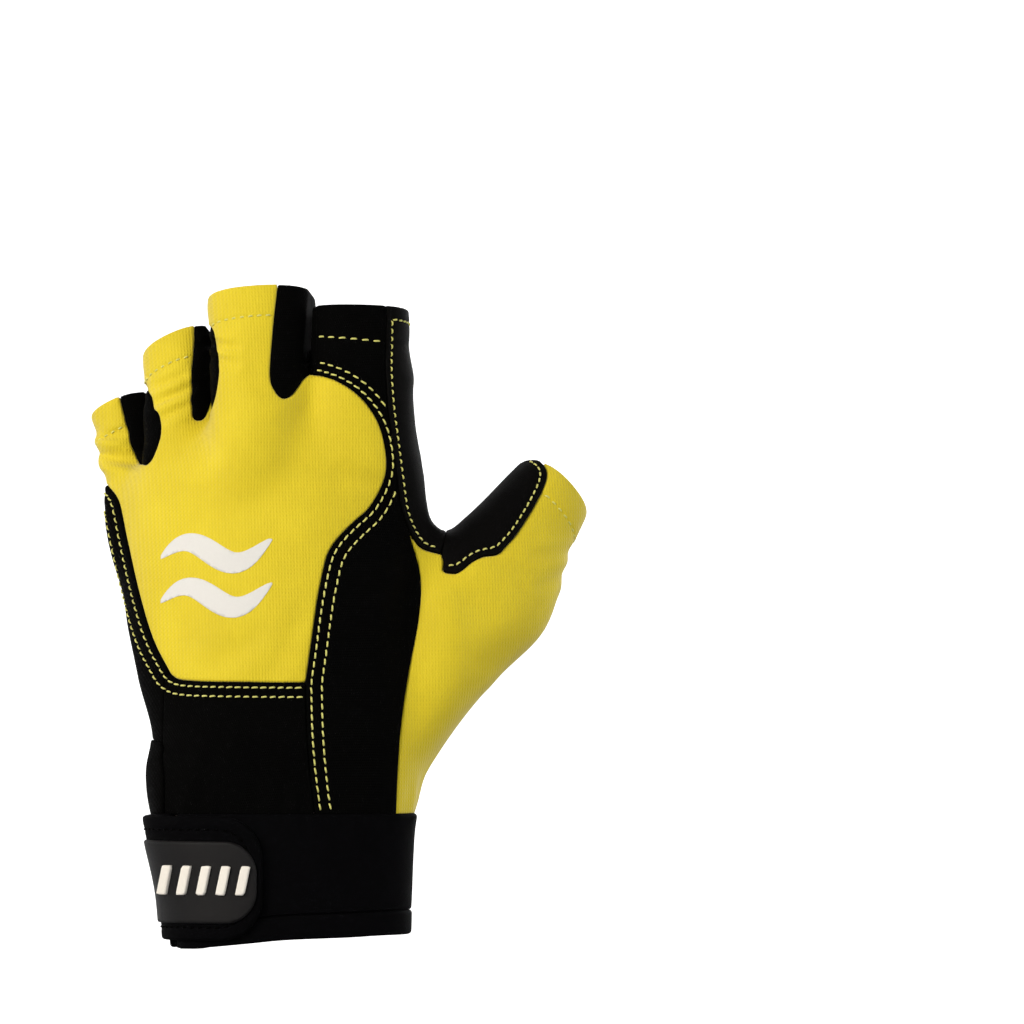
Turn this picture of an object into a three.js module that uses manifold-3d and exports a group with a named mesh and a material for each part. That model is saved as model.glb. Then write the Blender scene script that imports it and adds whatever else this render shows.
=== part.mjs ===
// A half-finger fishing glove for the left hand, in millimetres.
// +Z runs up the hand to the fingers, +X to the thumb, and the back of the hand faces -Y.
// The origin is the middle of the wrist opening. The glove is sewn from cloth panels, so it is
// worked out as one hollow hand form whose wall is then cut along the seams into its panels.

import * as THREE from 'three';
import { mergeVertices } from 'three/addons/utils/BufferGeometryUtils.js';
import Module from 'manifold-3d';

const wasm = await Module();
wasm.setup();

// Driving sizes
const clothWall = 1.4;
const seamGap = 0.3;
const neopreneOut = 0.9;
const neopreneIn = 1.6;
const strapThick = 1.8;
const tabThick = 1.4;
const tabBarRise = 0.6;
const padThick = 1.2;
const bindingHeight = 6.4;
const tabEndX = -6.1;
const tabLow = 4.6;
const tabHigh = 25.9;
const tabCorner = 8.5;
const tabRootX = -26;
const strapEndX = -4.6;
const strapLow = 0.2;
const strapHigh = 32.4;
const strapCorner = 11;
const strapRootX = -24;
const slitX = -24;
const perforationRadius = 0.8;
const gatherDepth = 0.45;
const gatherCount = 7;
const wristMiddleX = 2.7;
const roundness = 2.3;
const reach = 90;

// The hand form: each row is one section. The left end is the little-finger side, the right end
// the thumb side, deep is the size through the hand and bow lifts the middle towards the back.
const handRows = [
  { leftX: -27.3, leftY: 0, leftZ: -7, rightX: 32.7, rightY: 0, rightZ: -7, deep: 42, bow: 0 },
  { leftX: -28.4, leftY: 0, leftZ: 12, rightX: 33.2, rightY: 0, rightZ: 12, deep: 42, bow: 0 },
  { leftX: -32.0, leftY: 0.5, leftZ: 30, rightX: 33.9, rightY: 0, rightZ: 30, deep: 41.5, bow: -0.5 },
  { leftX: -34.2, leftY: 2, leftZ: 41, rightX: 35.0, rightY: 0, rightZ: 41, deep: 40.5, bow: -1 },
  { leftX: -33.4, leftY: 5, leftZ: 53, rightX: 36.2, rightY: 0, rightZ: 55, deep: 38.5, bow: -3 },
  { leftX: -36.2, leftY: 11, leftZ: 67, rightX: 37.0, rightY: 1, rightZ: 72, deep: 36.5, bow: -5 },
  { leftX: -40.2, leftY: 19.5, leftZ: 85, rightX: 37.6, rightY: 2, rightZ: 92, deep: 33, bow: -8.5 },
  { leftX: -43.6, leftY: 28, leftZ: 102, rightX: 37.8, rightY: 2.5, rightZ: 112, deep: 29, bow: -11.5 },
  { leftX: -45.6, leftY: 33.5, leftZ: 114, rightX: 36.0, rightY: 3, rightZ: 132, deep: 24, bow: -13 },
  { leftX: -44.5, leftY: 35.5, leftZ: 119.5, rightX: 31.5, rightY: 3, rightZ: 148, deep: 15, bow: -12.5 },
];

// The finger stalls and the thumb: the same columns, root first and rim last.
const stallRows = {
  index: [
    { leftX: 12, leftY: 3, leftZ: 96, rightX: 32.5, rightY: 3, rightZ: 98, deep: 17, bow: 0 },
    { leftX: 9.2, leftY: 2.5, leftZ: 115, rightX: 36.2, rightY: 2.5, rightZ: 117, deep: 24.5, bow: 0 },
    { leftX: 8.3, leftY: 3, leftZ: 131, rightX: 35.4, rightY: 3, rightZ: 132, deep: 26.5, bow: 0 },
    { leftX: 8.4, leftY: 4, leftZ: 148, rightX: 34.1, rightY: 4, rightZ: 148, deep: 26, bow: 0 },
    { leftX: 8.7, leftY: 6, leftZ: 164, rightX: 32.8, rightY: 5.5, rightZ: 163.6, deep: 24.5, bow: 0 },
  ],
  middle: [
    { leftX: -15.5, leftY: 6, leftZ: 92, rightX: 5, rightY: 4.5, rightZ: 95, deep: 17, bow: 0 },
    { leftX: -18.6, leftY: 3.5, leftZ: 113, rightX: 7.6, rightY: 1.5, rightZ: 116, deep: 24.5, bow: 0 },
    { leftX: -19.0, leftY: 3.8, leftZ: 131, rightX: 7.6, rightY: 1, rightZ: 132, deep: 26.5, bow: 0 },
    { leftX: -18.9, leftY: 6.2, leftZ: 148, rightX: 7.4, rightY: 3, rightZ: 149, deep: 25.8, bow: 0 },
    { leftX: -18.7, leftY: 11.5, leftZ: 166, rightX: 7.3, rightY: 8, rightZ: 166.8, deep: 24.5, bow: 0 },
  ],
  ring: [
    { leftX: -32.0, leftY: 14.5, leftZ: 86, rightX: -16.5, rightY: 9, rightZ: 91, deep: 15, bow: 0 },
    { leftX: -35.0, leftY: 19.5, leftZ: 108, rightX: -14.6, rightY: 11, rightZ: 113, deep: 22, bow: 0 },
    { leftX: -34.8, leftY: 22.5, leftZ: 124, rightX: -14.6, rightY: 13.5, rightZ: 128.5, deep: 23, bow: 0 },
    { leftX: -33.9, leftY: 26, leftZ: 139, rightX: -15.2, rightY: 17.5, rightZ: 143.5, deep: 22, bow: 0 },
    { leftX: -34.6, leftY: 31, leftZ: 151.6, rightX: -16.4, rightY: 23, rightZ: 156.2, deep: 21, bow: 0 },
  ],
  little: [
    { leftX: -36.5, leftY: 17.5, leftZ: 76, rightX: -25, rightY: 12.5, rightZ: 80, deep: 12, bow: 0 },
    { leftX: -43.4, leftY: 27.5, leftZ: 95, rightX: -28.6, rightY: 19.5, rightZ: 99.5, deep: 17.5, bow: 0 },
    { leftX: -45.8, leftY: 34.5, leftZ: 110, rightX: -30.2, rightY: 24.8, rightZ: 114.5, deep: 20, bow: 0 },
    { leftX: -46.2, leftY: 39.5, leftZ: 123.5, rightX: -31.8, rightY: 29.8, rightZ: 127.5, deep: 20, bow: 0 },
    { leftX: -47.9, leftY: 45, leftZ: 135.2, rightX: -34.0, rightY: 34.5, rightZ: 139.4, deep: 19, bow: 0 },
  ],
  thumb: [
    { leftX: 8, leftY: 4, leftZ: 54, rightX: 32.4, rightY: 2, rightZ: 37, deep: 24, bow: 0 },
    { leftX: 16, leftY: 5, leftZ: 70, rightX: 44.8, rightY: 4, rightZ: 53, deep: 30, bow: 0 },
    { leftX: 27, leftY: 6, leftZ: 86, rightX: 56.4, rightY: 7, rightZ: 67, deep: 30, bow: 0 },
    { leftX: 36, leftY: 8, leftZ: 99, rightX: 67.5, rightY: 12, rightZ: 79, deep: 27.5, bow: 0 },
    { leftX: 43.6, leftY: 10, leftZ: 107.2, rightX: 72.2, rightY: 17, rightZ: 90, deep: 25.5, bow: 0 },
    { leftX: 51.5, leftY: 13.5, leftZ: 113.2, rightX: 74.4, rightY: 21, rightZ: 99.5, deep: 24, bow: 0 },
    { leftX: 58.3, leftY: 17, leftZ: 119.8, rightX: 76.2, rightY: 24, rightZ: 105, deep: 23, bow: 0 },
    { leftX: 64.6, leftY: 20.5, leftZ: 125, rightX: 78.4, rightY: 27, rightZ: 109.6, deep: 22.5, bow: 0 },
  ],
};

// Seams, each a smooth run through a few [x, z] knots as seen from the back or from the palm.
const seams = {
  cuffTopBack: [[-80, 33], [80, 33]],
  cuffTopPalm: [[-80, 33], [-34, 32.4], [-17, 27.5], [1, 25], [19, 27], [35, 32.4], [80, 33]],
  cuffBottomBack: [[-80, -1.6], [-5, 0.2], [80, 1.6]],
  cuffBottomPalm: [[-80, -1.6], [-27, -1.6], [1, -4], [33, 1.2], [80, 1.6]],
  yellowRight: [[7.8, 147.1], [18.2, 143], [25.5, 134.3], [27.6, 120.3], [19.6, 109.1],
    [11.7, 98.4], [8.7, 81.3], [6.6, 67.1]],
  yellowBottom: [[6.6, 67.1], [-10.9, 67.2], [-25.5, 67.6], [-28.9, 69.1]],
  yellowLeft: [[-28.9, 69.1], [-33.7, 78.2], [-37.6, 90.6], [-41, 104.9], [-43.1, 114.2], [-46.2, 118.2]],
  gussetOne: [[-0.8, 172], [-2.1, 160], [-2.8, 147], [-1.4, 142.8], [1.2, 140.5], [4.2, 141.4],
    [6.6, 145.5], [9.4, 148]],
  gussetTwo: [[-22.7, 160], [-23.2, 148], [-23.4, 138.5], [-22.4, 135.6], [-20.4, 135.6], [-18, 140],
    [-16.4, 147]],
  gussetThree: [[-43.4, 143.5], [-40.9, 134], [-38.6, 126.4], [-36.7, 123.6], [-34.5, 124.5],
    [-32, 130.6], [-31, 136]],
  stripBack: [[28, 163.4], [27.2, 148.6], [28.2, 133.9], [29.6, 119.4], [31, 111], [33.4, 106]],
  stripFoot: [[33.4, 106], [36.6, 101.8], [41.7, 100.3]],
  stripPalm: [[25, 161], [25.5, 146], [27.5, 130], [30, 118], [34, 108], [38.5, 101]],
  patchFoot: [[62, 127], [67.4, 124.4], [69.1, 120.4], [64, 109.5], [58.5, 102.5], [54.9, 99.8],
    [49.8, 98.5], [46.1, 95.6], [42.3, 96], [41.7, 100.3]],
  patchPalm: [[37, 97], [44, 102.5], [51, 108], [58, 114.5], [63.5, 121], [67, 128]],
  thumbSeamBack: [[33.4, 106], [36.1, 95.2], [35.7, 84.3], [33.5, 71], [31.5, 56.9], [30.5, 43], [29.7, 20]],
  thumbSeamPalm: [[73.5, 122], [66, 107], [57, 90], [50, 79.5], [41, 70], [30, 59], [23.5, 49],
    [19.5, 39], [17, 20]],
  lowSeam: [[6.6, 67.1], [6.9, 55], [7.6, 45], [9, 33.4], [11, 20]],
  wristGussetBack: [[-30.5, 20], [-30.2, 40], [-30.8, 50], [-33.5, 55.5], [-60, 57]],
  wristGussetPalm: [[-30.5, 20], [-30, 38], [-31, 48], [-34, 55.5], [-60, 57]],
  ulnarSeam: [[-30.8, 50], [-30.6, 60], [-30.2, 69]],
};

// Grip pad on the palm: one lobe at the root of each finger, its top knot first.
const padRows = [
  { lobeX: -44.5, lobeZ: 131, valleyX: -33.5, valleyZ: 121 },
  { lobeX: -25.2, lobeZ: 137.5, valleyX: -17.2, valleyZ: 130.5 },
  { lobeX: -7.6, lobeZ: 144, valleyX: 1.8, valleyZ: 135 },
  { lobeX: 17.4, lobeZ: 136, valleyX: 24, valleyZ: 129.5 },
];
const padFoot = [[24, 129.5], [20.5, 125], [-8, 114.8], [-30.5, 106.8], [-44, 101.5], [-60, 97]];

// Perforations in the palm: rows of holes, first hole and step across and along the palm.
const perforationRows = [
  { firstX: 19.5, firstZ: 109.5, stepX: -13.4, stepZ: -4.4, count: 4 },
  { firstX: 21, firstZ: 98, stepX: -13.8, stepZ: -4.6, count: 4 },
  { firstX: 6, firstZ: 81.5, stepX: -13.4, stepZ: -4.5, count: 4 },
];

// Plain slanted bars moulded on the strap tab.
const tabBar = { firstX: -31, step: 5.2, count: 5, wide: 2.4, lean: 1.6, low: 11.5, high: 20 };

// Plain helpers
function solidOf(geometry, weld = 1e-5) {
  geometry.deleteAttribute('normal');
  geometry.deleteAttribute('uv');
  const merged = mergeVertices(geometry, weld);
  return new wasm.Manifold(new wasm.Mesh({
    numProp: 3,
    vertProperties: new Float32Array(merged.attributes.position.array),
    triVerts: new Uint32Array(merged.index.array),
  }));
}

// Gathers where the cloth runs into the firm cuff.
function gather(angle, height) {
  const near = Math.exp(-(((height - 38) / 7) ** 2));
  return gatherDepth * near * Math.sin(angle * gatherCount);
}

// Smooth sections through the rows. at() gives the frame of the section at 0..1 along them.
function sectionsOf(rows) {
  const ends = (x, y, z) => new THREE.CatmullRomCurve3(
    rows.map((row) => new THREE.Vector3(row[x], row[y], row[z])), false, 'catmullrom', 0.5);
  const left = ends('leftX', 'leftY', 'leftZ');
  const right = ends('rightX', 'rightY', 'rightZ');
  const sizes = new THREE.CatmullRomCurve3(
    rows.map((row) => new THREE.Vector3(row.deep, row.bow, 0)), false, 'catmullrom', 0.5);
  const middleAt = (t) => left.getPoint(t).add(right.getPoint(t)).multiplyScalar(0.5);
  const at = (t) => {
    const step = 0.01;
    const along = middleAt(Math.min(1, t + step)).sub(middleAt(Math.max(0, t - step))).normalize();
    const across = right.getPoint(t).sub(left.getPoint(t));
    const halfWide = across.length() / 2;
    across.normalize();
    const through = new THREE.Vector3().crossVectors(along, across).normalize();
    const size = sizes.getPoint(t);
    return { middle: middleAt(t), along, across, through, halfWide, halfDeep: size.x / 2, bow: size.y };
  };
  return at;
}

// A closed body lofted through the rows, grown or shrunk, with its ends run on along its length.
function loft(rows, { grow = 0, sides = 20, startOn = grow, endOn = grow, gathers = false }) {
  const levels = rows.length - 1;
  const at = sectionsOf(rows);
  const geometry = new THREE.CylinderGeometry(1, 1, 1, sides, levels, false);
  geometry.deleteAttribute('normal');
  geometry.deleteAttribute('uv');
  const body = mergeVertices(geometry, 1e-5);
  const place = body.attributes.position;
  const power = (value) => Math.sign(value) * Math.abs(value) ** (2 / roundness);
  for (let i = 0; i < place.count; i += 1) {
    const along = THREE.MathUtils.clamp(place.getY(i) + 0.5, 0, 1);
    const rim = Math.hypot(place.getX(i), place.getZ(i)) > 0.5 ? 1 : 0;
    const cos = power(place.getZ(i)) * rim;
    const sin = power(place.getX(i)) * rim;
    const section = at(along);
    const angle = Math.atan2(place.getX(i), place.getZ(i));
    const fold = gathers && rim ? gather(angle, section.middle.z) : 0;
    const point = section.middle.clone();
    point.addScaledVector(section.across, (section.halfWide + grow + fold) * cos);
    point.addScaledVector(section.through, (section.halfDeep + grow + fold) * sin
      + section.bow * (1 - cos * cos) * rim + section.bow * 0.9 * (1 - rim));
    if (along < 0.0001) point.addScaledVector(section.along, -startOn);
    if (along > 0.9999) point.addScaledVector(section.along, endOn);
    place.setXYZ(i, point.x, point.y, point.z);
  }
  return solidOf(body);
}

// The half of the space on the back-of-hand side of a body's own middle surface.
function dorsalHalf(rows, shift = 0) {
  const at = sectionsOf(rows);
  const geometry = new THREE.BoxGeometry(1, 1, 1, 6, 1, rows.length - 1);
  const place = geometry.attributes.position;
  for (let i = 0; i < place.count; i += 1) {
    const side = place.getX(i) * 2;
    const section = at(THREE.MathUtils.clamp(place.getZ(i) + 0.5, 0, 1));
    const depth = place.getY(i) > 0 ? section.bow * (1 - side * side) + shift
      : section.bow - section.halfDeep - 3;
    const point = section.middle.clone();
    point.addScaledVector(section.across, (section.halfWide + 1.5) * side);
    point.addScaledVector(section.through, depth);
    point.addScaledVector(section.along, place.getZ(i) > 0.499 ? 6 : 0);
    place.setXYZ(i, point.x, point.y, point.z);
  }
  return solidOf(geometry);
}

// One run of a seam, smoothed through its knots.
function run(knots) {
  if (knots.length < 3) return knots;
  const curve = new THREE.SplineCurve(knots.map(([x, z]) => new THREE.Vector2(x, z)));
  return curve.getPoints(Math.ceil((knots.length - 1) * 1.2)).map((point) => [point.x, point.y]);
}

// An outline grown outwards all round by a small distance.
function grownOutline(outline, by) {
  const area = outline.reduce((sum, [x, z], i) => {
    const [nextX, nextZ] = outline[(i + 1) % outline.length];
    return sum + x * nextZ - nextX * z;
  }, 0);
  const turn = Math.sign(area);
  const normal = (from, to) => new THREE.Vector2(to[1] - from[1], from[0] - to[0]).normalize()
    .multiplyScalar(turn);
  return outline.map((point, i) => {
    const before = normal(outline[(i + outline.length - 1) % outline.length], point);
    const after = normal(point, outline[(i + 1) % outline.length]);
    const lean = before.add(after).normalize();
    return [point[0] + lean.x * by / Math.max(0.5, lean.dot(after)),
      point[1] + lean.y * by / Math.max(0.5, lean.dot(after))];
  });
}

// A prism through the glove from front to back, from an outline seen from the back.
function prism(runs, grow = 0) {
  let outline = runs.flatMap((knots) => run(knots));
  outline = outline.filter(([x, z], i) => {
    const [lastX, lastZ] = outline[(i + outline.length - 1) % outline.length];
    return Math.hypot(x - lastX, z - lastZ) > 0.05;
  });
  if (grow) outline = grownOutline(outline, grow);
  const shape = new THREE.Shape(outline.map(([x, z]) => new THREE.Vector2(x, z)));
  const geometry = new THREE.ExtrudeGeometry(shape, { depth: 2 * reach, bevelEnabled: false });
  geometry.rotateX(Math.PI / 2);
  geometry.translate(0, reach, 0);
  return solidOf(geometry);
}

const reversed = (knots) => [...knots].reverse();
const corners = (...knots) => knots.map((knot) => [knot]);

// The bodies that make up the hand form, each grown by a distance.
const bodyRows = { hand: handRows, ...stallRows };
function bodyOf(name, grow, open = 0) {
  const isHand = name === 'hand';
  return loft(bodyRows[name], {
    grow,
    sides: isHand ? 28 : 14,
    startOn: isHand ? open : grow,
    endOn: isHand ? grow : open,
    gathers: isHand,
  });
}

// The whole hand form, with its openings run through by some distance where it is a hollow.
function handForm(grow, open = 0) {
  const bodies = Object.keys(bodyRows).map((name) => bodyOf(name, grow, open));
  return bodies.reduce((sum, body) => sum.add(body));
}

const form = handForm(0);
const hollow = handForm(-clothWall, 8);

// The back-of-hand half of each body, and the body itself, tell which wall a panel is cut from.
const halves = {};
const widerHalves = {};
const bodies = {};
for (const [name, rows] of Object.entries(bodyRows)) {
  halves[name] = dorsalHalf(rows);
  widerHalves[name] = dorsalHalf(rows, seamGap);
  bodies[name] = bodyOf(name, 0.03);
}
const joined = (solids) => solids.reduce((sum, solid) => sum.add(solid));

// The space of one part of a panel: its outline, the face it lies on and the bodies it covers.
// A panel that goes round an edge meets itself there, and any other keeps the seam's gap.
function partSpace({ runs, face, of, meets = false, raised = 0 }, grow) {
  const cut = prism(runs, grow);
  return joined(of.map((name) => {
    const space = cut.intersect(raised ? bodyOf(name, raised) : bodies[name]);
    const wide = meets || grow > 0;
    if (face === 'back') return space.intersect((wide ? widerHalves : halves)[name]);
    return space.subtract((wide ? halves : widerHalves)[name]);
  }));
}
const panelSpace = (parts, grow = 0) => joined(parts.map((part) => partSpace(part, grow)));

// Levels of the cuff are cut by one prism for the back of the hand and one for the palm.
const backSpace = solidOf(new THREE.BoxGeometry(240, 120, 300).translate(0, -60, 60));
const palmSpace = solidOf(new THREE.BoxGeometry(240, 120, 300).translate(0, 60, 60));
function under(backKnots, palmKnots, shift = 0) {
  const lower = (knots) => prism([
    [[-80, -60], [80, -60]],
    reversed(knots.map(([x, z]) => [x, z + shift])),
  ]);
  return lower(backKnots).intersect(backSpace).add(lower(palmKnots).intersect(palmSpace));
}

// The panels in the order in which they lie over one another at the seams.
const panels = [
  {
    name: 'gusset_index_middle',
    look: 'stretch',
    parts: [
      { face: 'back', meets: true, of: ['middle', 'hand', 'index'],
        runs: [seams.gussetOne, ...corners([9.4, 190], [-0.8, 190])] },
      { face: 'palm', meets: true, of: ['middle', 'hand', 'index'],
        runs: [[[3.6, 145], [5.4, 140.4], [8, 139], [10.6, 140.4], [12.4, 145]],
          ...corners([12.6, 190], [3.4, 190])] },
    ],
  },
  {
    name: 'gusset_middle_ring',
    look: 'stretch',
    parts: [
      { face: 'back', meets: true, of: ['ring', 'hand'],
        runs: [seams.gussetTwo, ...corners([-11, 150], [-11, 190], [-22.7, 190])] },
      { face: 'palm', meets: true, of: ['ring', 'middle', 'hand'],
        runs: [[[-21.2, 142], [-19.6, 137.4], [-17, 136], [-14.4, 137.4], [-12.8, 142]],
          ...corners([-12.6, 190], [-21.6, 190])] },
    ],
  },
  {
    name: 'gusset_ring_little',
    look: 'stretch',
    parts: [
      { face: 'back', meets: true, of: ['little', 'hand'],
        runs: [seams.gussetThree, ...corners([-26, 140], [-26, 190], [-43.4, 190])] },
      { face: 'palm', meets: true, of: ['little', 'ring', 'hand'],
        runs: [[[-38, 130], [-36.4, 126], [-33.4, 124.4], [-30.4, 126], [-28.8, 130]],
          ...corners([-28.4, 190], [-38.4, 190])] },
    ],
  },
  {
    name: 'index_side_strip',
    look: 'leather',
    parts: [
      { face: 'back', meets: true, of: ['index', 'hand', 'thumb'],
        runs: [seams.stripBack, seams.stripFoot,
          ...corners([41.7, 100.3], [43.2, 108.5], [45, 116], [45, 163.4])] },
      { face: 'palm', meets: true, of: ['index', 'hand', 'thumb'],
        runs: [seams.stripPalm, ...corners([38.5, 101], [43.2, 106], [45, 116], [45, 161])] },
    ],
  },
  {
    name: 'thumb_patch',
    look: 'leather',
    parts: [
      { face: 'back', meets: true, of: ['thumb', 'hand'],
        runs: [seams.patchFoot, ...corners([41.7, 100.3], [43.2, 108.5], [40, 118], [58, 140])] },
      { face: 'palm', meets: true, of: ['thumb', 'hand'],
        runs: [seams.patchPalm, ...corners([64, 140], [40, 122], [36, 104])] },
    ],
  },
  {
    name: 'back_panel',
    look: 'yellow',
    parts: [
      { face: 'back', of: ['hand', 'index', 'middle', 'ring', 'little'],
        runs: [seams.yellowRight, seams.yellowBottom, seams.yellowLeft,
          ...corners([-46.2, 118.2], [-70, 118.2], [-70, 190], [7.8, 190])] },
    ],
  },
  {
    name: 'index_back_panel',
    look: 'stretch',
    parts: [
      { face: 'back', of: ['index', 'hand', 'thumb'],
        runs: [...corners([6, 190], [6, 149]), seams.yellowRight, seams.lowSeam,
          reversed(seams.thumbSeamBack), ...corners([33.4, 106], [60, 112], [60, 190])] },
    ],
  },
  {
    name: 'thumb_panel',
    look: 'yellow',
    parts: [
      { face: 'back', meets: true, of: ['thumb', 'hand'],
        runs: [seams.thumbSeamBack, ...corners([29.7, 15], [110, 15], [110, 140], [44, 140])] },
      { face: 'palm', meets: true, of: ['thumb', 'hand'],
        runs: [seams.thumbSeamPalm, ...corners([17, 15], [110, 15], [110, 140])] },
    ],
  },
  {
    name: 'wrist_gusset',
    look: 'stretch',
    parts: [
      { face: 'back', meets: true, of: ['hand'], runs: [seams.wristGussetBack, [[-60, 20]]] },
      { face: 'palm', meets: true, of: ['hand'], runs: [seams.wristGussetPalm, [[-60, 20]]] },
    ],
  },
  {
    name: 'ulnar_strip',
    look: 'stretch',
    parts: [
      { face: 'back', of: ['hand', 'little'],
        runs: [seams.ulnarSeam, seams.yellowLeft, ...corners([-70, 118.2], [-70, 50])] },
    ],
  },
  {
    name: 'lower_back_panel',
    look: 'stretch',
    parts: [
      { face: 'back', of: ['hand'],
        runs: [seams.lowSeam, ...corners([-31, 20], [-31, 50], [-30, 60], [-30, 72], [6, 72])] },
    ],
  },
];

// Looks of the cloths: colour, roughness and metalness.
const looks = {
  yellow: { color: 0xe3d328, roughness: 0.7, metalness: 0 },
  stretch: { color: 0x0b0b0c, roughness: 0.75, metalness: 0 },
  leather: { color: 0x080808, roughness: 0.6, metalness: 0 },
  suede: { color: 0x887d80, roughness: 0.95, metalness: 0 },
  neoprene: { color: 0x0d0d10, roughness: 0.85, metalness: 0 },
  grip: { color: 0x101011, roughness: 0.5, metalness: 0 },
  rubber: { color: 0x343436, roughness: 0.65, metalness: 0 },
  mark: { color: 0xe6e2d8, roughness: 0.6, metalness: 0 },
};

// The largest closed body of a cut, with any crumb of cloth beside it left out.
function mainBody({ numProp, vertProperties, triVerts }) {
  const parent = Array.from({ length: vertProperties.length / numProp }, (_, i) => i);
  const root = (i) => {
    let top = i;
    while (parent[top] !== top) {
      parent[top] = parent[parent[top]];
      top = parent[top];
    }
    return top;
  };
  for (let i = 0; i < triVerts.length; i += 3) {
    parent[root(triVerts[i + 1])] = root(triVerts[i]);
    parent[root(triVerts[i + 2])] = root(triVerts[i]);
  }
  const counts = new Map();
  for (let i = 0; i < triVerts.length; i += 3) {
    const top = root(triVerts[i]);
    counts.set(top, (counts.get(top) ?? 0) + 1);
  }
  const [best] = [...counts].sort((a, b) => b[1] - a[1])[0];
  const triangles = [];
  for (let i = 0; i < triVerts.length; i += 3) {
    if (root(triVerts[i]) === best) triangles.push(triVerts[i], triVerts[i + 1], triVerts[i + 2]);
  }
  return triangles;
}

// Meshes of the finished pieces, moved so that the origin is the middle of the wrist opening.
const glove = new THREE.Group();
const snap = 0.001;
const nick = 0.12;
function geometryOf({ vertProperties }, triangles) {
  const geometry = new THREE.BufferGeometry();
  const rounded = vertProperties.map((value) => Math.round(value / snap) * snap);
  geometry.setAttribute('position', new THREE.BufferAttribute(new Float32Array(rounded), 3));
  geometry.setIndex(triangles);
  return geometry;
}

// A small box round every edge where a cut wall would only touch itself.
function pinches(geometry) {
  const welded = mergeVertices(geometry, snap);
  const index = welded.index.array;
  const place = welded.attributes.position;
  const uses = new Map();
  for (let i = 0; i < index.length; i += 3) {
    const [a, b, c] = index.slice(i, i + 3);
    if (a === b || b === c || c === a) continue;
    for (const edge of [[a, b], [b, c], [c, a]]) {
      const key = `${Math.min(...edge)} ${Math.max(...edge)}`;
      uses.set(key, (uses.get(key) ?? 0) + 1);
    }
  }
  const edges = [...uses].filter(([, count]) => count > 2).map(([key]) => key.split(' ').map(Number));
  return edges.map((edge) => {
    const ends = edge.map((i) => new THREE.Vector3().fromBufferAttribute(place, i));
    const box = new THREE.Box3().setFromPoints(ends).expandByScalar(nick);
    const size = box.getSize(new THREE.Vector3());
    const middle = box.getCenter(new THREE.Vector3());
    return solidOf(new THREE.BoxGeometry(size.x, size.y, size.z).translate(middle.x, middle.y, middle.z));
  });
}

function addPiece(name, look, solid) {
  let mesh = solid.getMesh();
  let geometry = geometryOf(mesh, [...mesh.triVerts]);
  for (let pass = 0; pass < 4; pass += 1) {
    const boxes = pinches(geometry);
    const welded = solidOf(geometry, snap);
    mesh = (boxes.length ? welded.subtract(joined(boxes)) : welded).getMesh();
    geometry = geometryOf(mesh, mainBody(mesh));
  }
  geometry.translate(-wristMiddleX, 0, 0);
  const piece = new THREE.Mesh(geometry, new THREE.MeshStandardMaterial(looks[look]));
  piece.name = name;
  glove.add(piece);
}

// Cloth panels: the wall above the cuff, less every panel that lies over this one.
let wall = form.subtract(hollow).subtract(under(seams.cuffTopBack, seams.cuffTopPalm, seamGap));
for (const { name, look, parts } of panels) {
  addPiece(name, look, wall.intersect(panelSpace(parts)));
  wall = wall.subtract(panelSpace(parts, seamGap));
}

// The palm is the wall that is left, pierced by its rows of holes.
const holes = perforationRows.flatMap((row) => Array.from({ length: row.count }, (_, i) => solidOf(
  new THREE.CylinderGeometry(perforationRadius, perforationRadius, 60, 5)
    .translate(row.firstX + row.stepX * i, 34, row.firstZ + row.stepZ * i))));
addPiece('palm_panel', 'suede', wall.subtract(joined(holes)));

// The neoprene cuff and its turned bottom edge, slit at the little-finger side under the strap.
const level = (shift) => under(
  seams.cuffBottomBack.map(([x, z]) => [x, z + shift]),
  seams.cuffBottomPalm.map(([x, z]) => [x, z + shift]));
const slit = solidOf(new THREE.BoxGeometry(2, 60, 80).translate(slitX, -30, 0));
const cuffWall = bodyOf('hand', neopreneOut, 4).subtract(bodyOf('hand', -neopreneIn, 8))
  .intersect(under(seams.cuffTopBack, seams.cuffTopPalm)).subtract(level(0)).subtract(slit);
addPiece('cuff', 'neoprene', cuffWall.subtract(level(bindingHeight)));
addPiece('cuff_binding', 'neoprene', cuffWall.intersect(level(bindingHeight - seamGap)));

// The skin between two distances outside the hand form, for what is sewn on top of it.
const skin = (from, to) => bodyOf('hand', to, 4).subtract(bodyOf('hand', from, 8));
const strapOn = neopreneOut + seamGap;
const tabOn = strapOn + strapThick + seamGap;
const barOn = tabOn + tabThick + seamGap;
const rounded = (endX, low, high, radius) => Array.from({ length: 9 }, (_, i) => {
  const angle = -Math.PI / 2 + (Math.PI * i) / 8;
  const middle = angle < 0 ? low + radius : high - radius;
  return [endX - radius + radius * Math.cos(angle), middle + radius * Math.sin(angle)];
});
const banded = (endX, low, high, radius, palmX) => backSpace
  .intersect(prism([...corners([-80, low]), ...corners(...rounded(endX, low, high, radius)),
    ...corners([-80, high])]))
  .add(palmSpace.intersect(prism(corners([-80, low], [palmX, low], [palmX, high], [-80, high]))));
addPiece('strap', 'neoprene', skin(strapOn, strapOn + strapThick)
  .intersect(banded(strapEndX, strapLow, strapHigh, strapCorner, strapRootX)));
addPiece('strap_tab', 'rubber', skin(tabOn, tabOn + tabThick)
  .intersect(banded(tabEndX, tabLow, tabHigh, tabCorner, tabRootX)));
for (let i = 0; i < tabBar.count; i += 1) {
  const x = tabBar.firstX + tabBar.step * i;
  const bar = prism(corners(
    [x, tabBar.low], [x + tabBar.wide, tabBar.low],
    [x + tabBar.wide + tabBar.lean, tabBar.high], [x + tabBar.lean, tabBar.high]));
  addPiece(`tab_bar_${i + 1}`, 'mark',
    skin(barOn, barOn + tabBarRise).intersect(bar).intersect(backSpace));
}

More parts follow.
